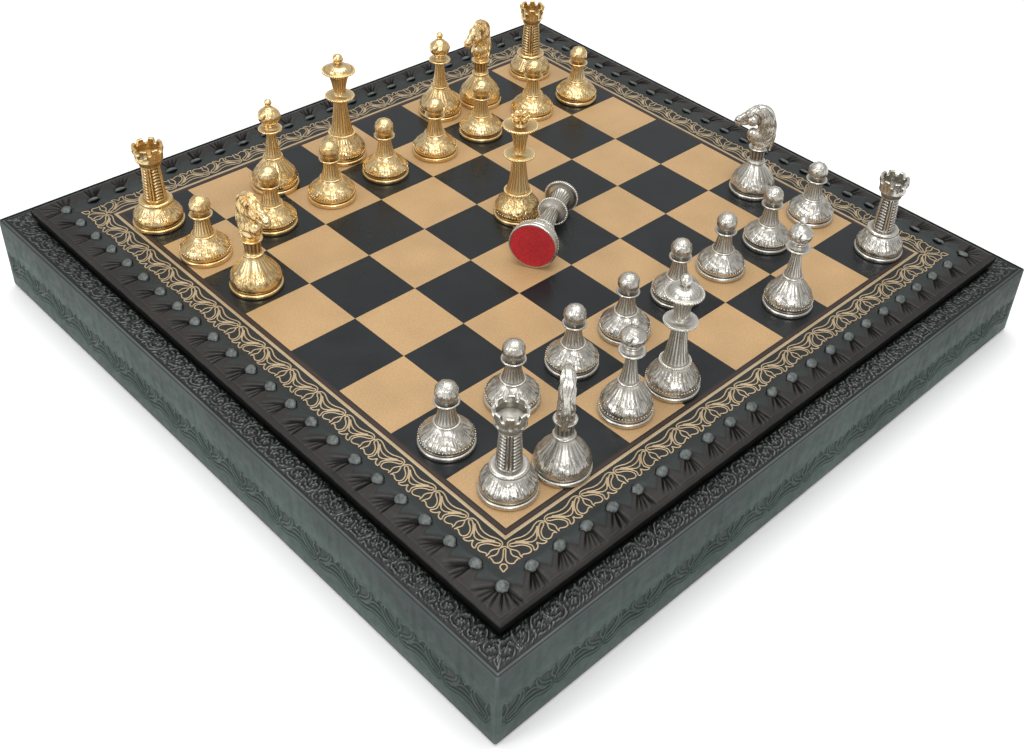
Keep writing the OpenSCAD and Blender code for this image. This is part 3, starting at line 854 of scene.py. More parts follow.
# Painted shade in the folds and under the roll: near-black colour and less specular.
fold_shade = ramp_node(tree, fold_shade_layer, [(0.0, grey(0)), (0.85, grey(0.85))])
tree.links.new(mix_colours(tree, fold_shade, toned, (0.002, 0.002, 0.002, 1)), shader.inputs["Base Color"])
tree.links.new(ramp_node(tree, crinkle, [(0.3, grey(0.38)), (0.7, grey(0.55))]), shader.inputs["Roughness"])
tree.links.new(math_node(tree, "MULTIPLY_ADD", fold_shade, -0.2, 0.26), shader.inputs["Specular IOR Level"])
tree.links.new(bump_node(tree, crinkle, 0.0003, 0.3), shader.inputs["Normal"])
for roll, name in zip(rolls, side_names):
    roll.data.materials.append(roll_leather)
    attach(roll, "board")
    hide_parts("edge_roll_" + name)

# ---- Studs ----
# Eighty-eight small upholstery studs covered in leatherette that is rubbed grey, driven through the roll
# in one row. They lean outwards, and their raised side towards the board is painted near black as shade.
stud_lean = math.radians(20)
rubbed_dark = (0.035, 0.042, 0.041, 1)
rubbed_light = (0.115, 0.132, 0.128, 1)
stud_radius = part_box("edge_studs")[1].x - stud_row
stud_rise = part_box("edge_studs")[1].z - roll_top
bpy.ops.mesh.primitive_uv_sphere_add(segments=14, ring_count=8, radius=1)
stud = bpy.context.object
choose(stud, "VERT", lambda co, normal: co.z < -0.3)
bpy.ops.mesh.delete(type="VERT")
done()
draw = random.Random(11)
for point in stud.data.vertices:
    reach = math.hypot(point.co.x, point.co.y)
    boxy = (reach ** 3 + abs(point.co.z) ** 3) ** (1 / 3)
    point.co *= (1 + draw.uniform(-0.04, 0.04)) / boxy
stud_size = Matrix.Diagonal((stud_radius * 1.2, stud_radius * 1.04, stud_rise * 1.25, 1))
stud_places = []
for side in range(4):
    turn = quarter_turn(side)
    for k in range(studs_per_side):
        lean = Matrix.Rotation(stud_lean + draw.uniform(-0.06, 0.06), 4, "X")
        spin = Matrix.Rotation(draw.uniform(-0.3, 0.3), 4, "Z")
        spot = Matrix.Translation((-stud_row + k * stud_pitch, -stud_row, roll_top - 0.1 * mm))
        stud_places.append(turn @ spot @ lean @ spin @ stud_size)
studs = spread(stud, stud_places, "leather_studs")
drop(stud)
# Painted shade on the sides of each stud that face the board.
inner_sides = []
for point in studs.data.vertices:
    axis = 0 if abs(point.co.x) > abs(point.co.y) else 1
    inward = -point.normal[axis] * math.copysign(1, point.co[axis])
    inner_sides.append(clamp((inward - 0.12) * 4))
note_layer(studs, "inner", inner_sides)
cap, tree, shader = shader_parts("rubbed_leather_cap")
place = object_place(tree)
dimples = add_node(tree, "ShaderNodeTexVoronoi", feature="SMOOTH_F1", Scale=2100.0)
tree.links.new(place, dimples.inputs["Vector"])
tarnish = noise_node(tree, place, 700, 3)
inner = layer_node(tree, "inner")
dull = ramp_node(tree, tarnish, [(0.3, rubbed_dark), (0.65, rubbed_light)])
# Painted shade: the board-facing sides are near black with little specular.
tree.links.new(mix_colours(tree, inner, dull, (0.003, 0.003, 0.003, 1)), shader.inputs["Base Color"])
tree.links.new(math_node(tree, "MULTIPLY_ADD", inner, -0.48, 0.5), shader.inputs["Specular IOR Level"])
shader.inputs["Roughness"].default_value = 0.42
tree.links.new(bump_node(tree, dimples.outputs["Distance"], 0.0003, 0.6), shader.inputs["Normal"])
studs.data.materials.append(cap)
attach(studs, "board")
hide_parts("edge_studs")

# ---- Pawns ----
# Sixteen cast pawns, plated gold or silver and toned dark in the recesses: a hammered ball in a
# flat collar, a fluted stem, a ring and a bell foot with a bead row. Red felt is glued into the foot.
rim_h = 1.9
groove_d = 0.7
bell_z = 4.4
bell_in = 0.5
ring_t = 0.9
collar_t = 1.3
pad_t = 0.6
pad_margin = 1.0


def flank(r0, z0, r1, z1, steps=20):
    """Flank of a bell, in mm: round above the groove, hollow below the ring."""
    curve = []
    for k in range(steps + 1):
        t = k / steps
        swell = 0.5 * (1 + math.cos(math.pi * t)) / 2 + 0.5 * math.cos(math.pi * t / 2) ** 1.1
        curve.append((r1 + (r0 - r1) * swell, z0 + (z1 - z0) * t))
    return curve


def flare(r0, z0, r1, z1, power=1.8, steps=14):
    return [(r1 + (r0 - r1) * (1 - k / steps) ** power, z0 + (z1 - z0) * k / steps)
            for k in range(steps + 1)]


def round_edge(r, z, thick, steps=6):
    half = thick / 2
    turns = [math.pi * (k / steps - 0.5) for k in range(steps + 1)]
    return [(r - half + half * math.cos(a), z + half * math.sin(a)) for a in turns]


def ball_part(r, z, start, end, steps=14):
    turns = [math.radians(start + (end - start) * k / steps) for k in range(steps + 1)]
    return [(r * math.cos(a), z + r * math.sin(a)) for a in turns]


def bell(foot_r, ring_r, ring_z):
    """Foot from the recess of the pad up to the ring: rim, dark groove and bell."""
    recess = foot_r - pad_margin + 0.1
    outline = [(0, pad_t), (recess, pad_t), (recess, 0.15), (foot_r - 0.35, 0.1)]
    outline += [(foot_r - 0.05, 0.35), (foot_r, 0.7), (foot_r, rim_h - 0.3), (foot_r - 0.12, rim_h + 0.1)]
    outline += [(foot_r - 0.4, rim_h + 0.28), (foot_r - bell_in - groove_d * 0.75, rim_h + 0.4)]
    for degrees in (-60, -40, -22, -8):
        turn = math.radians(degrees)
        outline.append((foot_r - bell_in - groove_d * (1 - math.cos(turn)), bell_z + 1.9 * math.sin(turn)))
    return outline + flank(foot_r - bell_in, bell_z, ring_r, ring_z)


def foot_and_stem(foot_r, ring_r, ring_z, stem_r, stem_top, steps=14):
    """Bell, ring and tapered stem, as pawn, bishop, queen and king share them."""
    return (
        bell(foot_r, ring_r - 0.3, ring_z - ring_t / 2)
        + round_edge(ring_r, ring_z, ring_t)
        + flare(ring_r - 0.8, ring_z + ring_t / 2, stem_r, stem_top, steps=steps)
    )


def turned(name, outline, sides):
    """Spins an outline in mm about the z axis. It starts and ends on the axis, so the solid is closed."""
    points = [(r * mm, 0, z * mm) for r, z in outline]
    piece = new_piece(name, points, [], [(k, k + 1) for k in range(len(points) - 1)])
    only(piece)
    edit_all()
    bpy.ops.mesh.spin(steps=sides, angle=math.tau, axis=(0, 0, 1), center=(0, 0, 0))
    bpy.ops.mesh.select_all(action="SELECT")
    bpy.ops.mesh.remove_doubles(threshold=0.008 * mm)
    bpy.ops.mesh.normals_make_consistent(inside=False)
    done()
    return piece


def carve(piece, rule):
    """Cuts into a turned piece: rule gives the depth in mm at each radius, angle and height."""
    points = read_points(piece)
    radius = np.hypot(points[:, 0], points[:, 1])
    angle = np.arctan2(points[:, 1], points[:, 0])
    depth = rule(radius / mm, angle, points[:, 2] / mm) * mm
    share = 1 - depth / np.maximum(radius, 0.3 * mm)
    points[:, 0] *= share
    points[:, 1] *= share
    write_points(piece, points)


def between(value, low, high, soft):
    """1 inside a range, falling softly to 0 at its ends."""
    return np.clip((value - low) / soft, 0, 1) * np.clip((high - value) / soft, 0, 1)


def ribs(angle, count, sharp=1.0):
    """0 on the crests and 1 in the hollows of evenly spaced flutes."""
    return (0.5 - 0.5 * np.cos(count * angle)) ** sharp


def rim_groove(r, z, foot_r, margin=0.35):
    """Dark tone of the groove above the rim of a foot."""
    return 0.85 * between(z, rim_h + 0.2, rim_h + 1.0, 0.2) * between(r, 0, foot_r - margin, 0.2)


def hammer_marks(piece, depth, size, low, high):
    """Dents a range of heights with seeded noise, as a planishing hammer leaves it."""
    points = read_points(piece)
    middle = np.array((0, 0, (low + high) / 2 * mm))
    for k, point in enumerate(points):
        height = point[2] / mm
        if low < height < high:
            away = Vector(point - middle).normalized()
            edge = min(1.0, (height - low) / 0.6, (high - height) / 0.6)
            points[k] += np.array(away) * noise.noise(Vector(point) / (size * mm)) * depth * mm * edge
    write_points(piece, points)


def bead_row(radius, height, count, size, stretch=1.0):
    """A ring of cast beads half sunk into the piece."""
    bpy.ops.mesh.primitive_uv_sphere_add(segments=8, ring_count=5, radius=size * mm)
    bead = bpy.context.object
    places = [
        Matrix.Rotation(math.tau * k / count, 4, "Z")
        @ Matrix.Translation((radius * mm, 0, height * mm)) @ Matrix.Diagonal((1, 1, stretch, 1))
        for k in range(count)
    ]
    row = spread(bead, places, "bead_row")
    drop(bead)
    return row


def weld(parts, name):
    """Joins the parts of one casting into one mesh, smooth with crisp edges."""
    bpy.ops.object.select_all(action="DESELECT")
    for part in parts:
        part.select_set(True)
    bpy.context.view_layer.objects.active = parts[0]
    if len(parts) > 1:
        bpy.ops.object.join()
    casting = bpy.context.view_layer.objects.active
    casting.name = name
    only(casting)
    bpy.ops.object.shade_smooth_by_angle(angle=math.radians(48))
    return casting


def note_finish(casting, rule):
    """Stores for each point how hammered and how toned it is, and its place wrapped round the axis."""
    points = read_points(casting) / mm
    radius = np.hypot(points[:, 0], points[:, 1])
    hammered, toned = rule(radius, np.arctan2(points[:, 1], points[:, 0]), points[:, 2])
    for name, values in (("hammered", hammered), ("toned", toned)):
        note_layer(casting, name, values + 0 * radius)
    wrapped = points / np.maximum(radius, 0.2)[:, None] * 10
    wrapped[:, 2] = points[:, 2] * 0.22
    layer = casting.data.attributes.new("wrapped", "FLOAT_VECTOR", "POINT")
    layer.data.foreach_set("vector", np.ascontiguousarray(wrapped, dtype=np.float32).ravel())


def plated_metal(name, bright, warm, dark, gloss):
    """Plated casting: bright on what stands up, toned in flutes and grooves, hammered where noted."""
    material, tree, shader = shader_parts(name)
    place = object_place(tree)
    hammered = layer_node(tree, "hammered")
    toned = layer_node(tree, "toned")
    dents = add_node(tree, "ShaderNodeTexVoronoi", feature="SMOOTH_F1", Scale=900.0, Smoothness=0.6)
    tree.links.new(place, dents.inputs["Vector"])
    scratches = noise_node(tree, place, 1600, 4, 1.5)
    wrapped = layer_node(tree, "wrapped", "Vector")
    strokes = noise_node(tree, wrapped, 1.9, 3, 0.3)
    raised = pointiness(tree)
    hollow = ramp_node(tree, raised, [(0.40, grey(1)), (0.485, grey(0.2)), (0.5, grey(0))])
    struck = ramp_node(tree, strokes, [(0.50, grey(0)), (0.60, grey(1))])
    flecks = math_node(tree, "MULTIPLY", math_node(tree, "MULTIPLY", struck, hammered), 0.72)
    tone = math_node(tree, "MAXIMUM", math_node(tree, "MAXIMUM", hollow, toned), flecks)
    clouds = ramp_node(tree, noise_node(tree, place, 140, 3), [(0.35, grey(0)), (0.65, grey(1))])
    body = mix_colours(tree, clouds, bright, warm)
    tree.links.new(mix_colours(tree, tone, body, dark), shader.inputs["Base Color"])
    shader.inputs["Metallic"].default_value = 1.0
    rough = math_node(tree, "MULTIPLY_ADD", tone, 0.25, gloss)
    rough = math_node(tree, "MULTIPLY_ADD", scratches, 0.12, rough)
    tree.links.new(rough, shader.inputs["Roughness"])
    dent_bump = add_node(tree, "ShaderNodeBump", Distance=0.00022)
    tree.links.new(dents.outputs["Distance"], dent_bump.inputs["Height"])
    tree.links.new(math_node(tree, "MULTIPLY_ADD", hammered, 0.6, 0.03), dent_bump.inputs["Strength"])
    strokes_bump = add_node(tree, "ShaderNodeBump", Distance=0.00018, invert=True)
    tree.links.new(strokes, strokes_bump.inputs["Height"])
    tree.links.new(math_node(tree, "MULTIPLY", hammered, 0.7), strokes_bump.inputs["Strength"])
    tree.links.new(dent_bump.outputs["Normal"], strokes_bump.inputs["Normal"])
    fine = bump_node(tree, scratches, 0.00006, 0.6, strokes_bump.outputs["Normal"])
    tree.links.new(fine, shader.inputs["Normal"])
    return material


metals = {
    "gold": plated_metal("gold_plated_metal", (0.87, 0.68, 0.38, 1), (0.80, 0.57, 0.26, 1),
                         (0.17, 0.085, 0.025, 1), 0.19),
    "silver": plated_metal("silver_plated_metal", (0.68, 0.66, 0.61, 1), (0.60, 0.575, 0.515, 1),
                           (0.075, 0.062, 0.045, 1), 0.20),
}
red_felt = felt("red_felt", (0.42, 0.006, 0.012, 1), (0.60, 0.03, 0.035, 1))


def cast_copies(casting, pad, names, place_of):
    """Copies a casting and its pad, each with its own mesh, to the places of the CAD nodes."""
    for node in names:
        metal = node.split("_")[0]
        spot = place_of(node)
        for master, label, material in ((casting, "casting", metals[metal]), (pad, "felt", red_felt)):
            mesh = master.data.copy()
            mesh.transform(spot)
            mesh.materials.clear()
            mesh.materials.append(material)
            piece = bpy.data.objects.new(node + "_" + label, mesh)
            bpy.context.collection.objects.link(piece)
            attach(piece, node)
            if label == "casting":
                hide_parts(node)
            else:
                if node + "_pad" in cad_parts:
                    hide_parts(node + "_pad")
    drop(casting)
    drop(pad)


def felt_pad(foot_r):
    bpy.ops.mesh.primitive_cylinder_add(vertices=64, radius=(foot_r - pad_margin) * mm, depth=pad_t * mm,
                                        location=(0, 0, pad_t / 2 * mm))
    pad = bpy.context.object
    bake_place(pad)
    edit_all()
    bpy.ops.mesh.select_all(action="DESELECT")
    done()
    choose(pad, "FACE", lambda middle, normal: normal.z < -0.5)
    bpy.ops.mesh.inset(thickness=0.25 * mm)
    done()
    choose(pad, "EDGE", lambda a, b: a.z + b.z < 0.1 * mm
           and min(a.xy.length, b.xy.length) > (foot_r - pad_margin - 0.1) * mm)
    bpy.ops.mesh.bevel(offset=0.12 * mm, segments=2, affect="EDGES")
    done()
    only(pad)
    bpy.ops.object.shade_smooth_by_angle(angle=math.radians(40))
    return pad


def upright(node):
    """Place of a piece that stands on its foot, the widest part, so the box's middle is its axis."""
    low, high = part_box(node)
    return Matrix.Translation(((low.x + high.x) / 2, (low.y + high.y) / 2, play_z))


pawn_foot_r = 11.6
pawn_ring_z = 11.6
pawn_ring_r = 5.5
pawn_stem_r = 3.1
pawn_collar_z = 21.9
pawn_collar_r = 5.2
pawn_ball_r = 4.7
pawn_ball_z = pawn_collar_z + collar_t / 2 + pawn_ball_r * math.sin(math.radians(50)) + 0.4
pawn_neck_r = pawn_ball_r * math.cos(math.radians(50))
pawn = turned("pawn", (
    foot_and_stem(pawn_foot_r, pawn_ring_r, pawn_ring_z, pawn_stem_r, pawn_collar_z - collar_t / 2)
    + [(pawn_collar_r - 1.2, pawn_collar_z - collar_t / 2 + 0.1)]
    + round_edge(pawn_collar_r, pawn_collar_z + 0.1, collar_t * 0.75)
    + [(pawn_collar_r - 0.9, pawn_collar_z + 0.35), (pawn_neck_r + 0.2, pawn_collar_z + 0.3)]
    + [(pawn_neck_r - 0.25, pawn_collar_z + collar_t / 2 + 0.1)]
    + ball_part(pawn_ball_r, pawn_ball_z, -48, 88, 16) + [(0, pawn_ball_z + pawn_ball_r)]
), 84)
carve(pawn, lambda r, a, z: (
    0.27 * ribs(a, 18, 0.8) * between(z, pawn_ring_z + 0.6, pawn_collar_z - 1.0, 1.5)
    + 0.22 * ribs(a, 28) * between(z, 7.2, pawn_ring_z - 0.6, 2.0)
))
hammer_marks(pawn, 0.32, 1.7, bell_z, pawn_ring_z - 1.5)
hammer_marks(pawn, 0.34, 1.5, pawn_ball_z - 4.0, pawn_ball_z + 5.0)
pawn = weld([pawn, bead_row(pawn_foot_r - bell_in - 0.02, bell_z + 0.25, 52, 0.34)], "pawn")
note_finish(pawn, lambda r, a, z: (
    between(z, bell_z + 0.6, pawn_ring_z - 0.7, 1.0) + 0.8 * between(z, pawn_collar_z + 1.5, 40, 1.5),
    0.75 * ribs(a, 18, 1.6) * between(z, pawn_ring_z + 0.6, pawn_collar_z - 0.8, 1.0)
    + 0.6 * ribs(a, 28, 2) * between(z, 6.8, pawn_ring_z - 0.4, 2.0)
    + rim_groove(r, z, pawn_foot_r)
    + 0.5 * between(z, pawn_collar_z + 0.3, pawn_collar_z + 2.6, 0.6)
    * between(r, 0, pawn_ball_r - 0.2, 0.6)
))
pawn_names = [f"{metal}_pawn_{k}" for metal in metals for k in range(1, 9)]
cast_copies(pawn, felt_pad(pawn_foot_r), pawn_names, upright)

# ---- Rooks ----
# Four cast towers: a fluted bell under a smooth round collar, a tapered tower with a double rib on
# each quarter and chevron courses between them, and a hollow crown with eight merlons.
rook_foot_r = 11.8
rook_torus_z = 12.4
rook_torus_r = 7.7
rook_torus_t = 2.2
rook_stem_r = 5.0
rook_neck_r = 3.9
rook_neck_z = 31.0
rook_top_z = 41.6
rook_shoulder_z = 34.6
rook_crown_r = 7.0
rook_crown_t = 1.5
rook_floor_z = 36.2
merlons = 8
rook_steps = 120
tower_low = rook_torus_z + rook_torus_t / 2
tower = [
    (rook_stem_r + (rook_neck_r - rook_stem_r) * k / rook_steps,
     tower_low + (rook_neck_z - tower_low) * k / rook_steps)
    for k in range(rook_steps + 1)
]
wall_steps = 14
crown_wall = [
    (rook_crown_r - 0.75 + 0.75 * (k / wall_steps) ** 2,
     rook_shoulder_z + (rook_top_z - 0.25 - rook_shoulder_z) * k / wall_steps)
    for k in range(wall_steps + 1)
]
inner_r = rook_crown_r - rook_crown_t
inner_wall = [
    (inner_r, rook_top_z - 0.2 - (rook_top_z - 0.2 - rook_floor_z) * k / wall_steps)
    for k in range(wall_steps + 1)
]
rook = turned("rook", (
    bell(rook_foot_r, rook_torus_r - 0.7, rook_torus_z - rook_torus_t / 2)
    + round_edge(rook_torus_r, rook_torus_z, rook_torus_t, 10)
    + tower
    + [(rook_neck_r + 0.15, rook_neck_z + 0.2), (rook_neck_r + 0.9, rook_neck_z + 0.5)]
    + flare(rook_neck_r + 0.8, rook_neck_z + 0.7, rook_crown_r - 0.85, rook_shoulder_z - 0.15, 0.55, 8)
    + crown_wall
    + [(rook_crown_r - 0.12, rook_top_z - 0.08), (rook_crown_r - 0.35, rook_top_z)]
    + [(inner_r + 0.35, rook_top_z), (inner_r + 0.1, rook_top_z - 0.08)]
    + inner_wall + [(inner_r - 1.2, rook_floor_z - 0.25), (0, rook_floor_z - 0.25)]
), 128)


def tower_pattern(angle, height):
    """Depth of the tower's relief: 0 on the ribs, up to 1 between the chevron courses."""
    quarter = math.pi / 2
    facing = np.radians(45)
    local = np.mod(angle - facing + quarter / 2, quarter) - quarter / 2
    rib = np.exp(-((np.abs(local) - 0.15) / 0.08) ** 2)
    valley = np.exp(-(local / 0.075) ** 2) + np.exp(-((np.abs(local) - 0.31) / 0.07) ** 2)
    course = (0.5 + 0.5 * np.cos(math.tau * (height / 1.55 - 0.7 * np.abs(local)))) ** 0.8
    field = course * np.clip((np.abs(local) - 0.26) / 0.08, 0, 1)
    return np.clip(0.9 * valley + 0.95 * field - 0.55 * rib, -0.5, 1)


def on_tower(height):
    return between(height, tower_low + 0.3, rook_neck_z, 0.5)


carve(rook, lambda r, a, z: (
    0.5 * tower_pattern(a, z) * on_tower(z)
    + 0.20 * ribs(a, 32) * between(z, 6.6, rook_torus_z - 1.6, 2.0)
    + 0.28 * ribs(a + math.pi / 8, merlons, 3) * between(z, rook_shoulder_z, rook_top_z, 1.2)
    * (r > rook_crown_r - 1)
))
hammer_marks(rook, 0.3, 1.9, bell_z, rook_torus_z - 2.5)
points = read_points(rook)
turn = np.arctan2(points[:, 1], points[:, 0])
reach = np.hypot(points[:, 0], points[:, 1]) / mm
notch = np.mod(turn, math.tau / merlons) - math.pi / merlons
gap = np.clip(1 - (np.abs(notch) * rook_crown_r / 1.25) ** 4, 0, 1) ** 0.5 * 2.3
crown_share = np.clip((points[:, 2] / mm - rook_top_z + 4.6) / 4.6, 0, 1) * (reach > inner_r - 0.3)
points[:, 2] -= gap * crown_share * mm
write_points(rook, points)
hammer_marks(rook, 0.10, 1.1, rook_shoulder_z - 3, rook_top_z + 0.2)
rook = weld([rook], "rook")
note_finish(rook, lambda r, a, z: (
    between(z, bell_z + 0.6, rook_torus_z - 1.4, 1.0)
    + 0.4 * between(z, rook_neck_z, rook_top_z + 1, 1.0) * (r > inner_r),
    0.95 * np.clip(tower_pattern(a, z), 0, 1) * on_tower(z)
    + 0.55 * ribs(a, 32, 2) * between(z, 6.4, rook_torus_z - 1.4, 2.0)
    + rim_groove(r, z, rook_foot_r)
    + 0.5 * between(z, rook_floor_z - 1, rook_top_z - 2, 1.0) * (r < inner_r + 0.2)
    + 0.55 * between(z, rook_neck_z - 0.2, rook_shoulder_z + 0.5, 0.8) * (r > 3)
))
rook_names = [f"{metal}_rook_{hand}" for metal in metals for hand in ("left", "right")]
cast_copies(rook, felt_pad(rook_foot_r), rook_names, upright)

# ---- Bishops ----
# Four cast bishops: a slim fluted stem under a flat collar with a raised inner ring, a drop-shaped
# head with a short slit, and a small ball on a flange.
bishop_foot_r = 11.6
bishop_ring_z = 16.6
bishop_ring_r = 4.8
bishop_stem_r = 2.2
bishop_collar_z = 31.8
bishop_collar_r = 5.7
bishop_head_r = 5.35
bishop_head_z = bishop_collar_z + collar_t / 2 + 6.6
bishop_point_z = bishop_head_z + 5.7
bishop_ball_r = 1.75
bishop_ball_z = bishop_point_z + bishop_ball_r * math.sin(math.radians(50)) - 0.35
head_low_r = bishop_head_r * math.cos(math.radians(55))
drop_steps = 14
drop_curve = [
    (bishop_head_r * math.cos(math.pi / 2 * (k / drop_steps) ** 1.05) * (1 - 0.06 * k / drop_steps)
     + 1.15 * (k / drop_steps) ** 2,
     bishop_head_z + (bishop_point_z - 0.9 - bishop_head_z) * (k / drop_steps) ** 0.97)
    for k in range(1, drop_steps)
]
bishop = turned("bishop", (
    foot_and_stem(bishop_foot_r, bishop_ring_r, bishop_ring_z, bishop_stem_r, bishop_collar_z - 1.4)
    + [(bishop_stem_r + 0.9, bishop_collar_z - 1.0), (bishop_collar_r - 0.9, bishop_collar_z - 0.55)]
    + round_edge(bishop_collar_r, bishop_collar_z, collar_t * 0.8)
    + [(bishop_collar_r - 1.0, bishop_collar_z + 0.5), (head_low_r + 1.0, bishop_collar_z + 0.5)]
    + [(head_low_r + 0.5, bishop_collar_z + 0.9), (head_low_r - 0.1, bishop_collar_z + 1.7)]
    + round_edge(head_low_r + 0.45, bishop_collar_z + 2.4, 0.7, 5)
    + ball_part(bishop_head_r, bishop_head_z, -50, 0, 8)
    + drop_curve
    + round_edge(bishop_ball_r * 0.72, bishop_point_z - 0.5, 0.6, 5)
    + [(bishop_ball_r * 0.5, bishop_point_z - 0.15)]
    + ball_part(bishop_ball_r, bishop_ball_z, -52, 85, 10) + [(0, bishop_ball_z + bishop_ball_r)]
), 96)
slit_turn = math.radians(-150)


def slit(angle, height):
    """The short slanting cut in the side of the mitre, seen from two sides."""
    offset = np.mod(angle - slit_turn + math.pi / 2, math.pi) - math.pi / 2
    across = offset * bishop_head_r - 0.5 * (height - bishop_head_z - 0.6)
    along = height - bishop_head_z - 0.6
    return np.exp(-(across / 0.45) ** 2) * np.exp(-(along / 1.5) ** 4)


carve(bishop, lambda r, a, z: (
    0.24 * ribs(a, 16, 0.8) * between(z, bishop_ring_z + 0.6, bishop_collar_z - 1.6, 1.5)
    + 0.24 * ribs(a, 24) * between(z, 8.0, bishop_ring_z - 0.6, 3.0)
    + 0.7 * slit(a, z) * (z > bishop_head_z - 3)
))
hammer_marks(bishop, 0.32, 1.8, bell_z, 11.5)
hammer_marks(bishop, 0.26, 1.5, bishop_head_z - 3.2, bishop_head_z + 4.8)
bishop = weld([bishop, bead_row(bishop_foot_r - bell_in - 0.02, bell_z + 0.25, 52, 0.34)], "bishop")
note_finish(bishop, lambda r, a, z: (
    between(z, bell_z + 0.6, 12.5, 1.5) + 0.5 * between(z, bishop_head_z - 3, bishop_head_z + 5, 1.5),
    0.75 * ribs(a, 16, 1.6) * between(z, bishop_ring_z + 0.6, bishop_collar_z - 1.2, 1.0)
    + 0.65 * ribs(a, 24, 2) * between(z, 7.5, bishop_ring_z - 0.4, 2.5)
    + rim_groove(r, z, bishop_foot_r)
    + 0.6 * between(z, bishop_collar_z + 0.5, bishop_collar_z + 3.2, 0.4) * (r < head_low_r + 0.3)
    + slit(a, z) * (z > bishop_head_z - 3)
))
bishop_names = [f"{metal}_bishop_{hand}" for metal in metals for hand in ("left", "right")]
cast_copies(bishop, felt_pad(bishop_foot_r), bishop_names, upright)

# ---- Queens ----
# Two cast queens: a tall fluted stem, a collar with a beaded edge, a fluted cup and a crown disc with
# a low ribbed dome and a ball.
queen_foot_r = 11.8
queen_ring_z = 13.9
queen_ring_r = 6.5
queen_stem_r = 3.3
queen_collar_z = 34.6
queen_collar_r = 7.0
queen_disc_z = queen_collar_z + 13.9
queen_cup_r = 5.5
queen_disc_r = 7.9
queen_dome_h = 3.9
queen_ball_r = 2.6
queen_ball_z = queen_disc_z + queen_dome_h + 0.6 * queen_ball_r + collar_t / 2


def cup(low_r, low_z, top_r, top_z, steps=18):
    return [(low_r + (top_r - low_r) * (k / steps) ** 1.9, low_z + (top_z - low_z) * k / steps)
            for k in range(steps + 1)]


def royal_body(foot_r, ring_r, ring_z, stem_r, collar_r, collar_z):
    """Bell, ring, tall stem, collar and neck, as the queen and the king share them."""
    return (
        foot_and_stem(foot_r, ring_r, ring_z, stem_r, collar_z - 1.7, 24)
        + [(stem_r + 1.2, collar_z - 1.1), (collar_r - 1.0, collar_z - 0.6)]
        + round_edge(collar_r, collar_z, collar_t * 0.85)
        + [(collar_r - 1.1, collar_z + 0.5), (stem_r + 1.0, collar_z + 0.6), (stem_r + 0.2, collar_z + 1.0)]
    )


queen = turned("queen", (
    royal_body(queen_foot_r, queen_ring_r, queen_ring_z, queen_stem_r, queen_collar_r, queen_collar_z)
    + cup(queen_stem_r - 0.2, queen_collar_z + 1.6, queen_cup_r, queen_disc_z - 1.0)
    + [(queen_cup_r + 1.0, queen_disc_z - 0.75), (queen_disc_r - 0.8, queen_disc_z - 0.45)]
    + round_edge(queen_disc_r, queen_disc_z, collar_t * 0.8)
    + [(queen_disc_r - 0.8, queen_disc_z + 0.42), (queen_disc_r - 1.5, queen_disc_z + 0.5)]
    + [((queen_disc_r - 1.7) * math.cos(math.radians(a)),
        queen_disc_z + 0.6 + 2.7 * math.sin(math.radians(a))) for a in range(4, 76, 6)]
    + [(1.3, queen_disc_z + queen_dome_h)]
    + ball_part(queen_ball_r, queen_ball_z, -50, 86, 12) + [(0, queen_ball_z + queen_ball_r)]
), 120)
carve(queen, lambda r, a, z: (
    0.30 * ribs(a, 20, 0.8) * between(z, queen_ring_z + 0.6, queen_collar_z - 1.8, 1.5)
    + 0.22 * ribs(a, 30) * between(z, 7.5, queen_ring_z - 0.6, 2.5)
    + 0.30 * ribs(a, 20, 0.8) * between(z, queen_collar_z + 2.0, queen_disc_z - 1.1, 1.5)
    + 0.10 * ribs(a, 24) * between(z, queen_disc_z + 0.7, queen_disc_z + queen_dome_h - 0.3, 0.6)
))
hammer_marks(queen, 0.3, 1.8, bell_z, queen_ring_z - 2.5)
queen = weld([
    queen,
    bead_row(queen_foot_r - bell_in - 0.02, bell_z + 0.25, 54, 0.36),
    bead_row(queen_ring_r + 0.02, queen_ring_z, 44, 0.42),
    bead_row(queen_collar_r - 0.15, queen_collar_z - 0.1, 40, 0.52),
    bead_row(queen_disc_r - 0.12, queen_disc_z, 44, 0.52),
], "queen")
note_finish(queen, lambda r, a, z: (
    between(z, bell_z + 0.6, queen_ring_z - 0.7, 1.0),
    0.75 * ribs(a, 20, 1.6) * (between(z, queen_ring_z + 0.6, queen_collar_z - 1.4, 1.0)
                              + between(z, queen_collar_z + 1.8, queen_disc_z - 0.8, 1.0))
    + 0.6 * ribs(a, 30, 2) * between(z, 7.0, queen_ring_z - 0.4, 2.0)
    + 0.3 * ribs(a, 24, 1.5) * between(z, queen_disc_z + 0.6, queen_disc_z + queen_dome_h, 0.4)
    + rim_groove(r, z, queen_foot_r)
))
cast_copies(queen, felt_pad(queen_foot_r), ["gold_queen", "silver_queen"], upright)

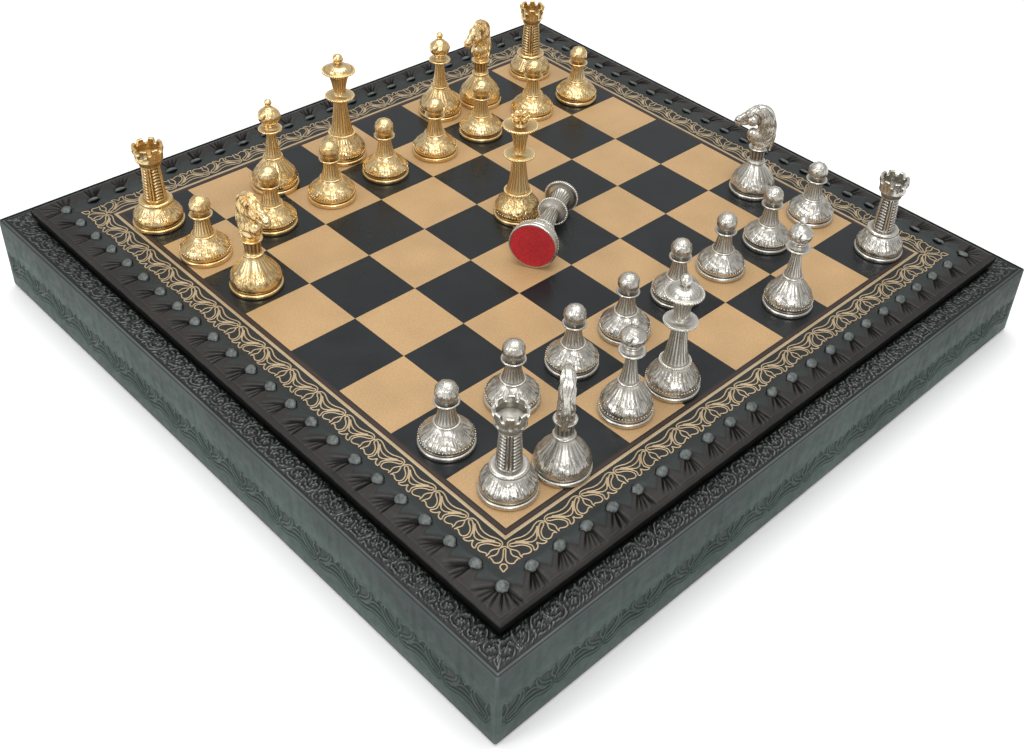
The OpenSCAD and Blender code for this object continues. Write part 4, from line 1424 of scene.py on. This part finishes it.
# ---- Kings ----
# Two cast kings: an engraved bell, a fluted stem, a scalloped collar, a fluted cup and a wide crown
# disc that carries a cluster of lobed leaves under a small cross. One lies on its side.
king_foot_r = 11.6
king_ring_z = 14.3
king_ring_r = 6.5
king_stem_r = 3.4
king_collar_z = 34.7
king_collar_r = 7.1
king_disc_z = king_collar_z + 15.3
king_cup_r = 5.0
king_disc_r = 8.2
king_leaves = 6
king = turned("king", (
    royal_body(king_foot_r, king_ring_r, king_ring_z, king_stem_r, king_collar_r, king_collar_z)
    + cup(king_stem_r - 0.5, king_collar_z + 1.6, king_cup_r, king_disc_z - 1.0, 20)
    + [(king_cup_r + 1.0, king_disc_z - 0.75), (king_disc_r - 0.8, king_disc_z - 0.45)]
    + round_edge(king_disc_r, king_disc_z, collar_t * 0.85)
    + [(king_disc_r - 0.9, king_disc_z + 0.35), (king_disc_r - 2.4, king_disc_z + 0.1)]
    + [(3.2, king_disc_z + 0.25), (2.6, king_disc_z + 1.0), (1.7, king_disc_z + 2.2)]
    + [(1.5, king_disc_z + 3.4), (0, king_disc_z + 3.6)]
), 120)
carve(king, lambda r, a, z: (
    0.30 * ribs(a, 20, 0.8) * between(z, king_ring_z + 0.6, king_collar_z - 1.8, 1.5)
    + 0.26 * ribs(a + 6 * np.sin(z * 1.1), 20, 1.0) * between(z, 9.2, king_ring_z - 0.8, 0.7)
    + 0.32 * ribs(a, 20, 0.8) * between(z, king_collar_z + 2.0, king_disc_z - 1.1, 1.5)
))
hammer_marks(king, 0.4, 1.5, bell_z, 9.6)
bpy.ops.mesh.primitive_uv_sphere_add(segments=14, ring_count=10, radius=1)
lobe = bpy.context.object
points = read_points(lobe)
points[:, 2] += 0.35 * np.abs(points[:, 0]) ** 2
points[:, 1] *= 1 - 0.45 * np.exp(-(points[:, 0] / 0.3) ** 2)
write_points(lobe, points)


def finial_part(turn, away, up, tilt, radii):
    """Place of one lobe, in mm: turned round the king's axis, moved away from it and up, and tilted."""
    return (
        turn @ Matrix.Translation((away * mm, 0, (king_disc_z + up) * mm))
        @ Matrix.Rotation(math.radians(tilt), 4, "Y") @ Matrix.Diagonal([r * mm for r in radii] + [1])
    )


lobe_places = []
for k in range(king_leaves):
    leaf_turn = Matrix.Rotation(math.tau * k / king_leaves + 0.26, 4, "Z")
    gap_turn = leaf_turn @ Matrix.Rotation(math.tau / king_leaves / 2, 4, "Z")
    lobe_places += [
        finial_part(leaf_turn, 3.2, 4.3, -32, (1.75, 1.5, 1.15)),
        finial_part(leaf_turn, 2.2, 2.4, -62, (1.9, 0.75, 0.7)),
        finial_part(gap_turn, 3.9, 2.9, -50, (1.35, 0.7, 0.6)),
    ]
cross_turn = Matrix.Rotation(math.radians(-45), 4, "Z")
for away, up, wide, high in (
    (0, 5.2, 1.25, 1.6), (0, 7.0, 0.75, 1.0), (-1.3, 6.3, 0.85, 0.65), (1.3, 6.3, 0.85, 0.65),
):
    lobe_places.append(finial_part(cross_turn, away, up, 0, (wide, 0.8, high)))
finial = spread(lobe, lobe_places, "king_finial")
drop(lobe)
king = weld([
    king, finial,
    bead_row(king_foot_r - bell_in - 0.02, bell_z + 0.25, 52, 0.36),
    bead_row(king_foot_r - 0.28, rim_h - 0.2, 64, 0.3),
    bead_row(king_ring_r + 0.02, king_ring_z, 44, 0.42),
    bead_row(king_collar_r - 0.1, king_collar_z - 0.25, 44, 0.62),
    bead_row(king_disc_r - 0.15, king_disc_z, 48, 0.5),
], "king")
note_finish(king, lambda r, a, z: (
    between(z, bell_z + 0.6, king_ring_z - 0.7, 1.0) + 0.5 * between(z, king_disc_z + 0.8, 70, 1.0),
    0.75 * ribs(a, 20, 1.6) * (between(z, king_ring_z + 0.6, king_collar_z - 1.4, 1.0)
                              + between(z, king_collar_z + 1.8, king_disc_z - 0.8, 1.0))
    + 0.7 * ribs(a + 6 * np.sin(z * 1.1), 20, 1.6) * between(z, 9.0, king_ring_z - 0.6, 0.8)
    + rim_groove(r, z, king_foot_r, 0.5)
    + 0.7 * between(z, king_disc_z + 0.5, king_disc_z + 3.6, 0.8) * (r < 3.0)
))
fallen_turn = math.radians(30)
fallen_lean = math.atan((king_foot_r - king_disc_r) / (king_disc_z - rim_h / 2))


def king_place(node):
    """The gold king stands. The silver one lies: its pad's middle and its lean give its place."""
    if node == "gold_king":
        return upright(node)
    low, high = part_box(node + "_pad")
    return (
        Matrix.Translation((low + high) / 2) @ Matrix.Rotation(fallen_turn, 4, "Z")
        @ Matrix.Rotation(math.pi / 2 + fallen_lean, 4, "Y") @ Matrix.Translation((0, 0, -pad_t / 2 * mm))
    )


cast_copies(king, felt_pad(king_foot_r), ["gold_king", "silver_king"], king_place)

# ---- Knights ----
# Four cast horse heads on a drum between two rings: an arched neck with a combed mane that hangs to
# the upper ring, a bridle, and a gap under the jaw. Head, mane and bell are one casting.
knight_foot_r = 11.8
knight_ring_z = 17.6
knight_drum_h = 7.6
knight_ring_r = 4.8
knight_drum_z = knight_ring_z + knight_drum_h
head_base = knight_drum_z + ring_t / 2
knight = turned("knight", (
    bell(knight_foot_r, knight_ring_r - 0.8, knight_ring_z - ring_t / 2)
    + round_edge(knight_ring_r - 0.2, knight_ring_z, ring_t)
    + [(knight_ring_r - 1.1, knight_ring_z + 0.7), (knight_ring_r - 1.3, knight_ring_z + 1.4)]
    + [(knight_ring_r - 1.25 + 0.3 * k / 8, knight_ring_z + 1.4 + (knight_drum_h - 2.4) * k / 8)
       for k in range(1, 9)]
    + round_edge(knight_ring_r, knight_drum_z, ring_t) + [(0, head_base)]
), 96)
carve(knight, lambda r, a, z: (
    0.15 * ribs(a, 24) * between(z, 9.0, knight_ring_z - 0.6, 3.0)
    + 0.4 * ribs(a, 12, 0.6) * between(z, knight_ring_z + 1.3, knight_drum_z - 0.9, 0.4)
))
hammer_marks(knight, 0.34, 1.8, bell_z, 11.5)


def flesh(along, up, radii, tilt=0, aside=0):
    """One rounded mass of the horse, in mm from the middle of the upper ring."""
    bpy.ops.mesh.primitive_uv_sphere_add(segments=20, ring_count=12, radius=1)
    mass = bpy.context.object
    mass.matrix_world = (
        Matrix.Translation((along * mm, aside * mm, (head_base + up) * mm))
        @ Matrix.Rotation(math.radians(tilt), 4, "Y") @ Matrix.Diagonal([r * mm for r in radii] + [1])
    )
    bake_place(mass)
    return mass


masses = [
    flesh(-0.6, 2.2, (4.6, 3.7, 4.2)), flesh(-1.0, 5.4, (5.4, 3.4, 4.6)),
    flesh(3.5, 6.0, (3.2, 2.8, 4.2), 12),
    flesh(-2.3, 9.6, (4.3, 3.1, 5.6), 8), flesh(-1.7, 14.2, (4.4, 2.9, 5.0), -20),
    flesh(0.4, 18.3, (4.5, 2.5, 4.0), -50), flesh(3.3, 18.2, (3.7, 2.4, 3.9)),
    flesh(4.9, 15.0, (3.4, 3.0, 3.2)), flesh(6.4, 17.8, (3.4, 2.2, 2.6), 35),
    flesh(9.0, 15.8, (3.6, 1.75, 2.3), 38), flesh(11.3, 13.8, (2.5, 1.85, 2.4), 40),
    flesh(12.6, 12.8, (1.4, 1.55, 1.3), 30), flesh(8.2, 12.7, (3.0, 1.7, 1.5), 14),
    flesh(10.9, 11.5, (1.7, 1.35, 1.1), 22),
]
for side in (1, -1):
    masses += [
        flesh(12.7, 14.1, (0.9, 0.55, 0.7), 30, 1.25 * side),
        flesh(6.7, 17.7, (1.5, 0.7, 0.6), 30, 1.75 * side),
        flesh(2.5, 22.1, (0.65, 0.45, 1.5), -28, 1.15 * side),
        flesh(5.0, 14.2, (2.6, 0.8, 2.4), 0, 2.3 * side),
    ]
horse = weld(masses, "horse")
apply_modifier(horse, "REMESH", mode="VOXEL", voxel_size=0.34 * mm)
apply_modifier(horse, "SMOOTH", factor=0.5, iterations=3)


def on_horse(point, line, reach):
    """Nearness (0 to 1) of a point of the head to a line drawn on its side, in mm."""
    best = min(math.hypot(point[0] - x, point[2] - head_base - z) for x, z in line)
    return math.exp(-((best / reach) ** 2))


cheek_line = [(4.6 + 3.5 * math.cos(math.radians(a)), 15.0 + 3.5 * math.sin(math.radians(a)))
              for a in range(100, 300, 10)]
mouth_line = [(8.6 + 0.45 * k, 13.3 - 0.12 * k + 0.012 * k * k) for k in range(0, 11)]
face_line = smooth_line([(7.6, 16.0), (9.4, 15.2), (11.2, 13.6)], 6)
nostril_line = [(13.2, 14.0), (13.0, 13.7)]
points = read_points(horse)
inward = np.sign(points[:, 1])
creases = np.zeros(len(points))
for k, point in enumerate(points / mm):
    if abs(point[1]) > 0.35:
        creases[k] = min(1.0, on_horse(point, cheek_line, 0.42) + on_horse(point, mouth_line, 0.3)
                         + 0.5 * on_horse(point, face_line, 0.4) + on_horse(point, nostril_line, 0.35))
points[:, 1] -= inward * creases * 0.5 * mm
write_points(horse, points)


def side_of_horse(tree, along, up, side):
    """The point on the head's side that lies at a place of its profile."""
    start = Vector((along * mm, side * 20 * mm, (head_base + up) * mm))
    hit = tree.ray_cast(start, Vector((0, -side, 0)))[0]
    return hit if hit is not None else Vector((start.x, side * 0.4 * mm, start.z))


def lock(line, thick, thin):
    """A tapered strand through points, made from a round-bevelled curve."""
    curve = bpy.data.curves.new("lock", "CURVE")
    curve.dimensions = "3D"
    curve.bevel_depth = mm
    curve.bevel_resolution = 1
    curve.use_fill_caps = True
    spline = curve.splines.new("POLY")
    spline.points.add(len(line) - 1)
    for k, point in enumerate(line):
        share = k / (len(line) - 1)
        spline.points[k].co = (*point, 1)
        fullness = math.sin(math.pi * min(1, 0.2 + 0.75 * share)) ** 0.7
        spline.points[k].radius = thin + (thick - thin) * fullness
    strand = bpy.data.objects.new("lock", curve)
    bpy.context.collection.objects.link(strand)
    only(strand)
    bpy.ops.object.convert(target="MESH")
    return bpy.context.object


horse_tree = BVHTree.FromObject(horse, bpy.context.evaluated_depsgraph_get())
mane_lines = [
    [(2.8, 20.8), (0.7, 17.4), (0.3, 12.4), (1.7, 7.6)],
    [(1.6, 21.6), (-0.9, 17.8), (-1.0, 12.2), (0.3, 6.2)],
    [(0.1, 21.6), (-2.4, 17.4), (-2.4, 11.8), (-1.2, 4.8)],
    [(-1.6, 21.0), (-3.8, 16.6), (-3.7, 11.0), (-2.5, 3.4)],
    [(-3.1, 19.6), (-4.7, 15.2), (-4.6, 9.6), (-3.6, 2.2)],
    [(-4.3, 17.6), (-5.5, 13.0), (-5.5, 7.8), (-4.6, 1.2)],
    [(-5.2, 15.4), (-6.3, 10.8), (-6.2, 6.0), (-5.4, 0.2)],
]
locks = []
for side in (1, -1):
    for number, line in enumerate(mane_lines):
        for shift, thick in ((0.0, 0.62), (-0.75, 0.42)):
            path = []
            for k, (x, z) in enumerate(smooth_line(line, 6)):
                sway = 0.28 * math.sin(k * 0.55 + number * 1.7 + side)
                path.append(side_of_horse(horse_tree, x + shift + sway, z, side))
            locks.append(lock(path, thick, 0.16))
    for x, z in ((-6.6, 10.4), (-6.4, 7.6), (-6.2, 4.8)):
        path = [side_of_horse(horse_tree, x + 0.62 * k, z - 0.55 * k, side) for k in range(8)]
        locks.append(lock(path, 0.62, 0.3))
    for line, thick in (
        ([(3.6, 20.9), (4.5, 18.0), (6.6, 14.6), (8.6, 13.0)], 0.26),
        ([(9.6, 17.0), (9.1, 15.0), (8.6, 12.4)], 0.34),
        ([(5.2, 20.9), (6.9, 19.7), (8.0, 18.0)], 0.4),
    ):
        path = [side_of_horse(horse_tree, x, z, side) for x, z in smooth_line(line, 6)]
        locks.append(lock(path, thick, 0.2))
    eye = side_of_horse(horse_tree, 7.2, 17.1, side) / mm
    locks.append(flesh(eye.x, eye.z - head_base, (0.55, 0.35, 0.42), 25, eye.y - 0.12 * side))
crest = smooth_line([(3.2, 22.2), (-0.4, 22.3), (-3.9, 19.7), (-6.1, 14.6), (-6.8, 8.4), (-6.3, 2.4),
                     (-5.6, -1.4)], 7)
for aside in (-1.1, 0.0, 1.1):
    path = [Vector((x * mm, (aside + 0.5 * math.sin(k * 0.42 + aside)) * mm * (0.7 + 0.3 * k / len(crest)),
                    (head_base + z) * mm)) for k, (x, z) in enumerate(crest)]
    locks.append(lock(path, 0.85, 0.3))
forelock = smooth_line([(2.8, 22.6), (5.2, 21.6), (7.3, 19.4), (8.0, 18.2)], 6)
for aside in (-0.5, 0.5):
    locks.append(lock([Vector((x * mm, aside * mm, (head_base + z) * mm)) for x, z in forelock], 0.5, 0.2))
note_layer(horse, "crease", creases)
knight = weld([knight, horse] + locks, "knight")
crease_values = np.zeros(len(knight.data.vertices), np.float32)
knight.data.attributes["crease"].data.foreach_get("value", crease_values)
note_finish(knight, lambda r, a, z: (
    between(z, bell_z + 0.6, 12.5, 1.5) + 0.3 * (z > head_base + 1),
    0.65 * ribs(a, 24, 2) * between(z, 7.5, knight_ring_z - 0.4, 2.5)
    + (0.35 + 0.6 * ribs(a, 12, 1.0)) * between(z, knight_ring_z + 0.7, knight_drum_z - 0.5, 0.3)
    + rim_groove(r, z, knight_foot_r)
    + 0.9 * crease_values
))
knight_facing = {"gold_knight_left": -84, "gold_knight_right": 192,
                 "silver_knight_left": 43, "silver_knight_right": 128}


def knight_place(node):
    """The muzzle reaches past the foot, so the axis is a foot's radius from the box's other side."""
    low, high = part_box(node)
    facing = math.radians(knight_facing[node])
    reach = knight_foot_r * mm
    x = low.x + reach if math.cos(facing) > 0 else high.x - reach
    y = low.y + reach if math.sin(facing) > 0 else high.y - reach
    return Matrix.Translation((x, y, play_z)) @ Matrix.Rotation(facing, 4, "Z")


cast_copies(knight, felt_pad(knight_foot_r), list(knight_facing), knight_place)
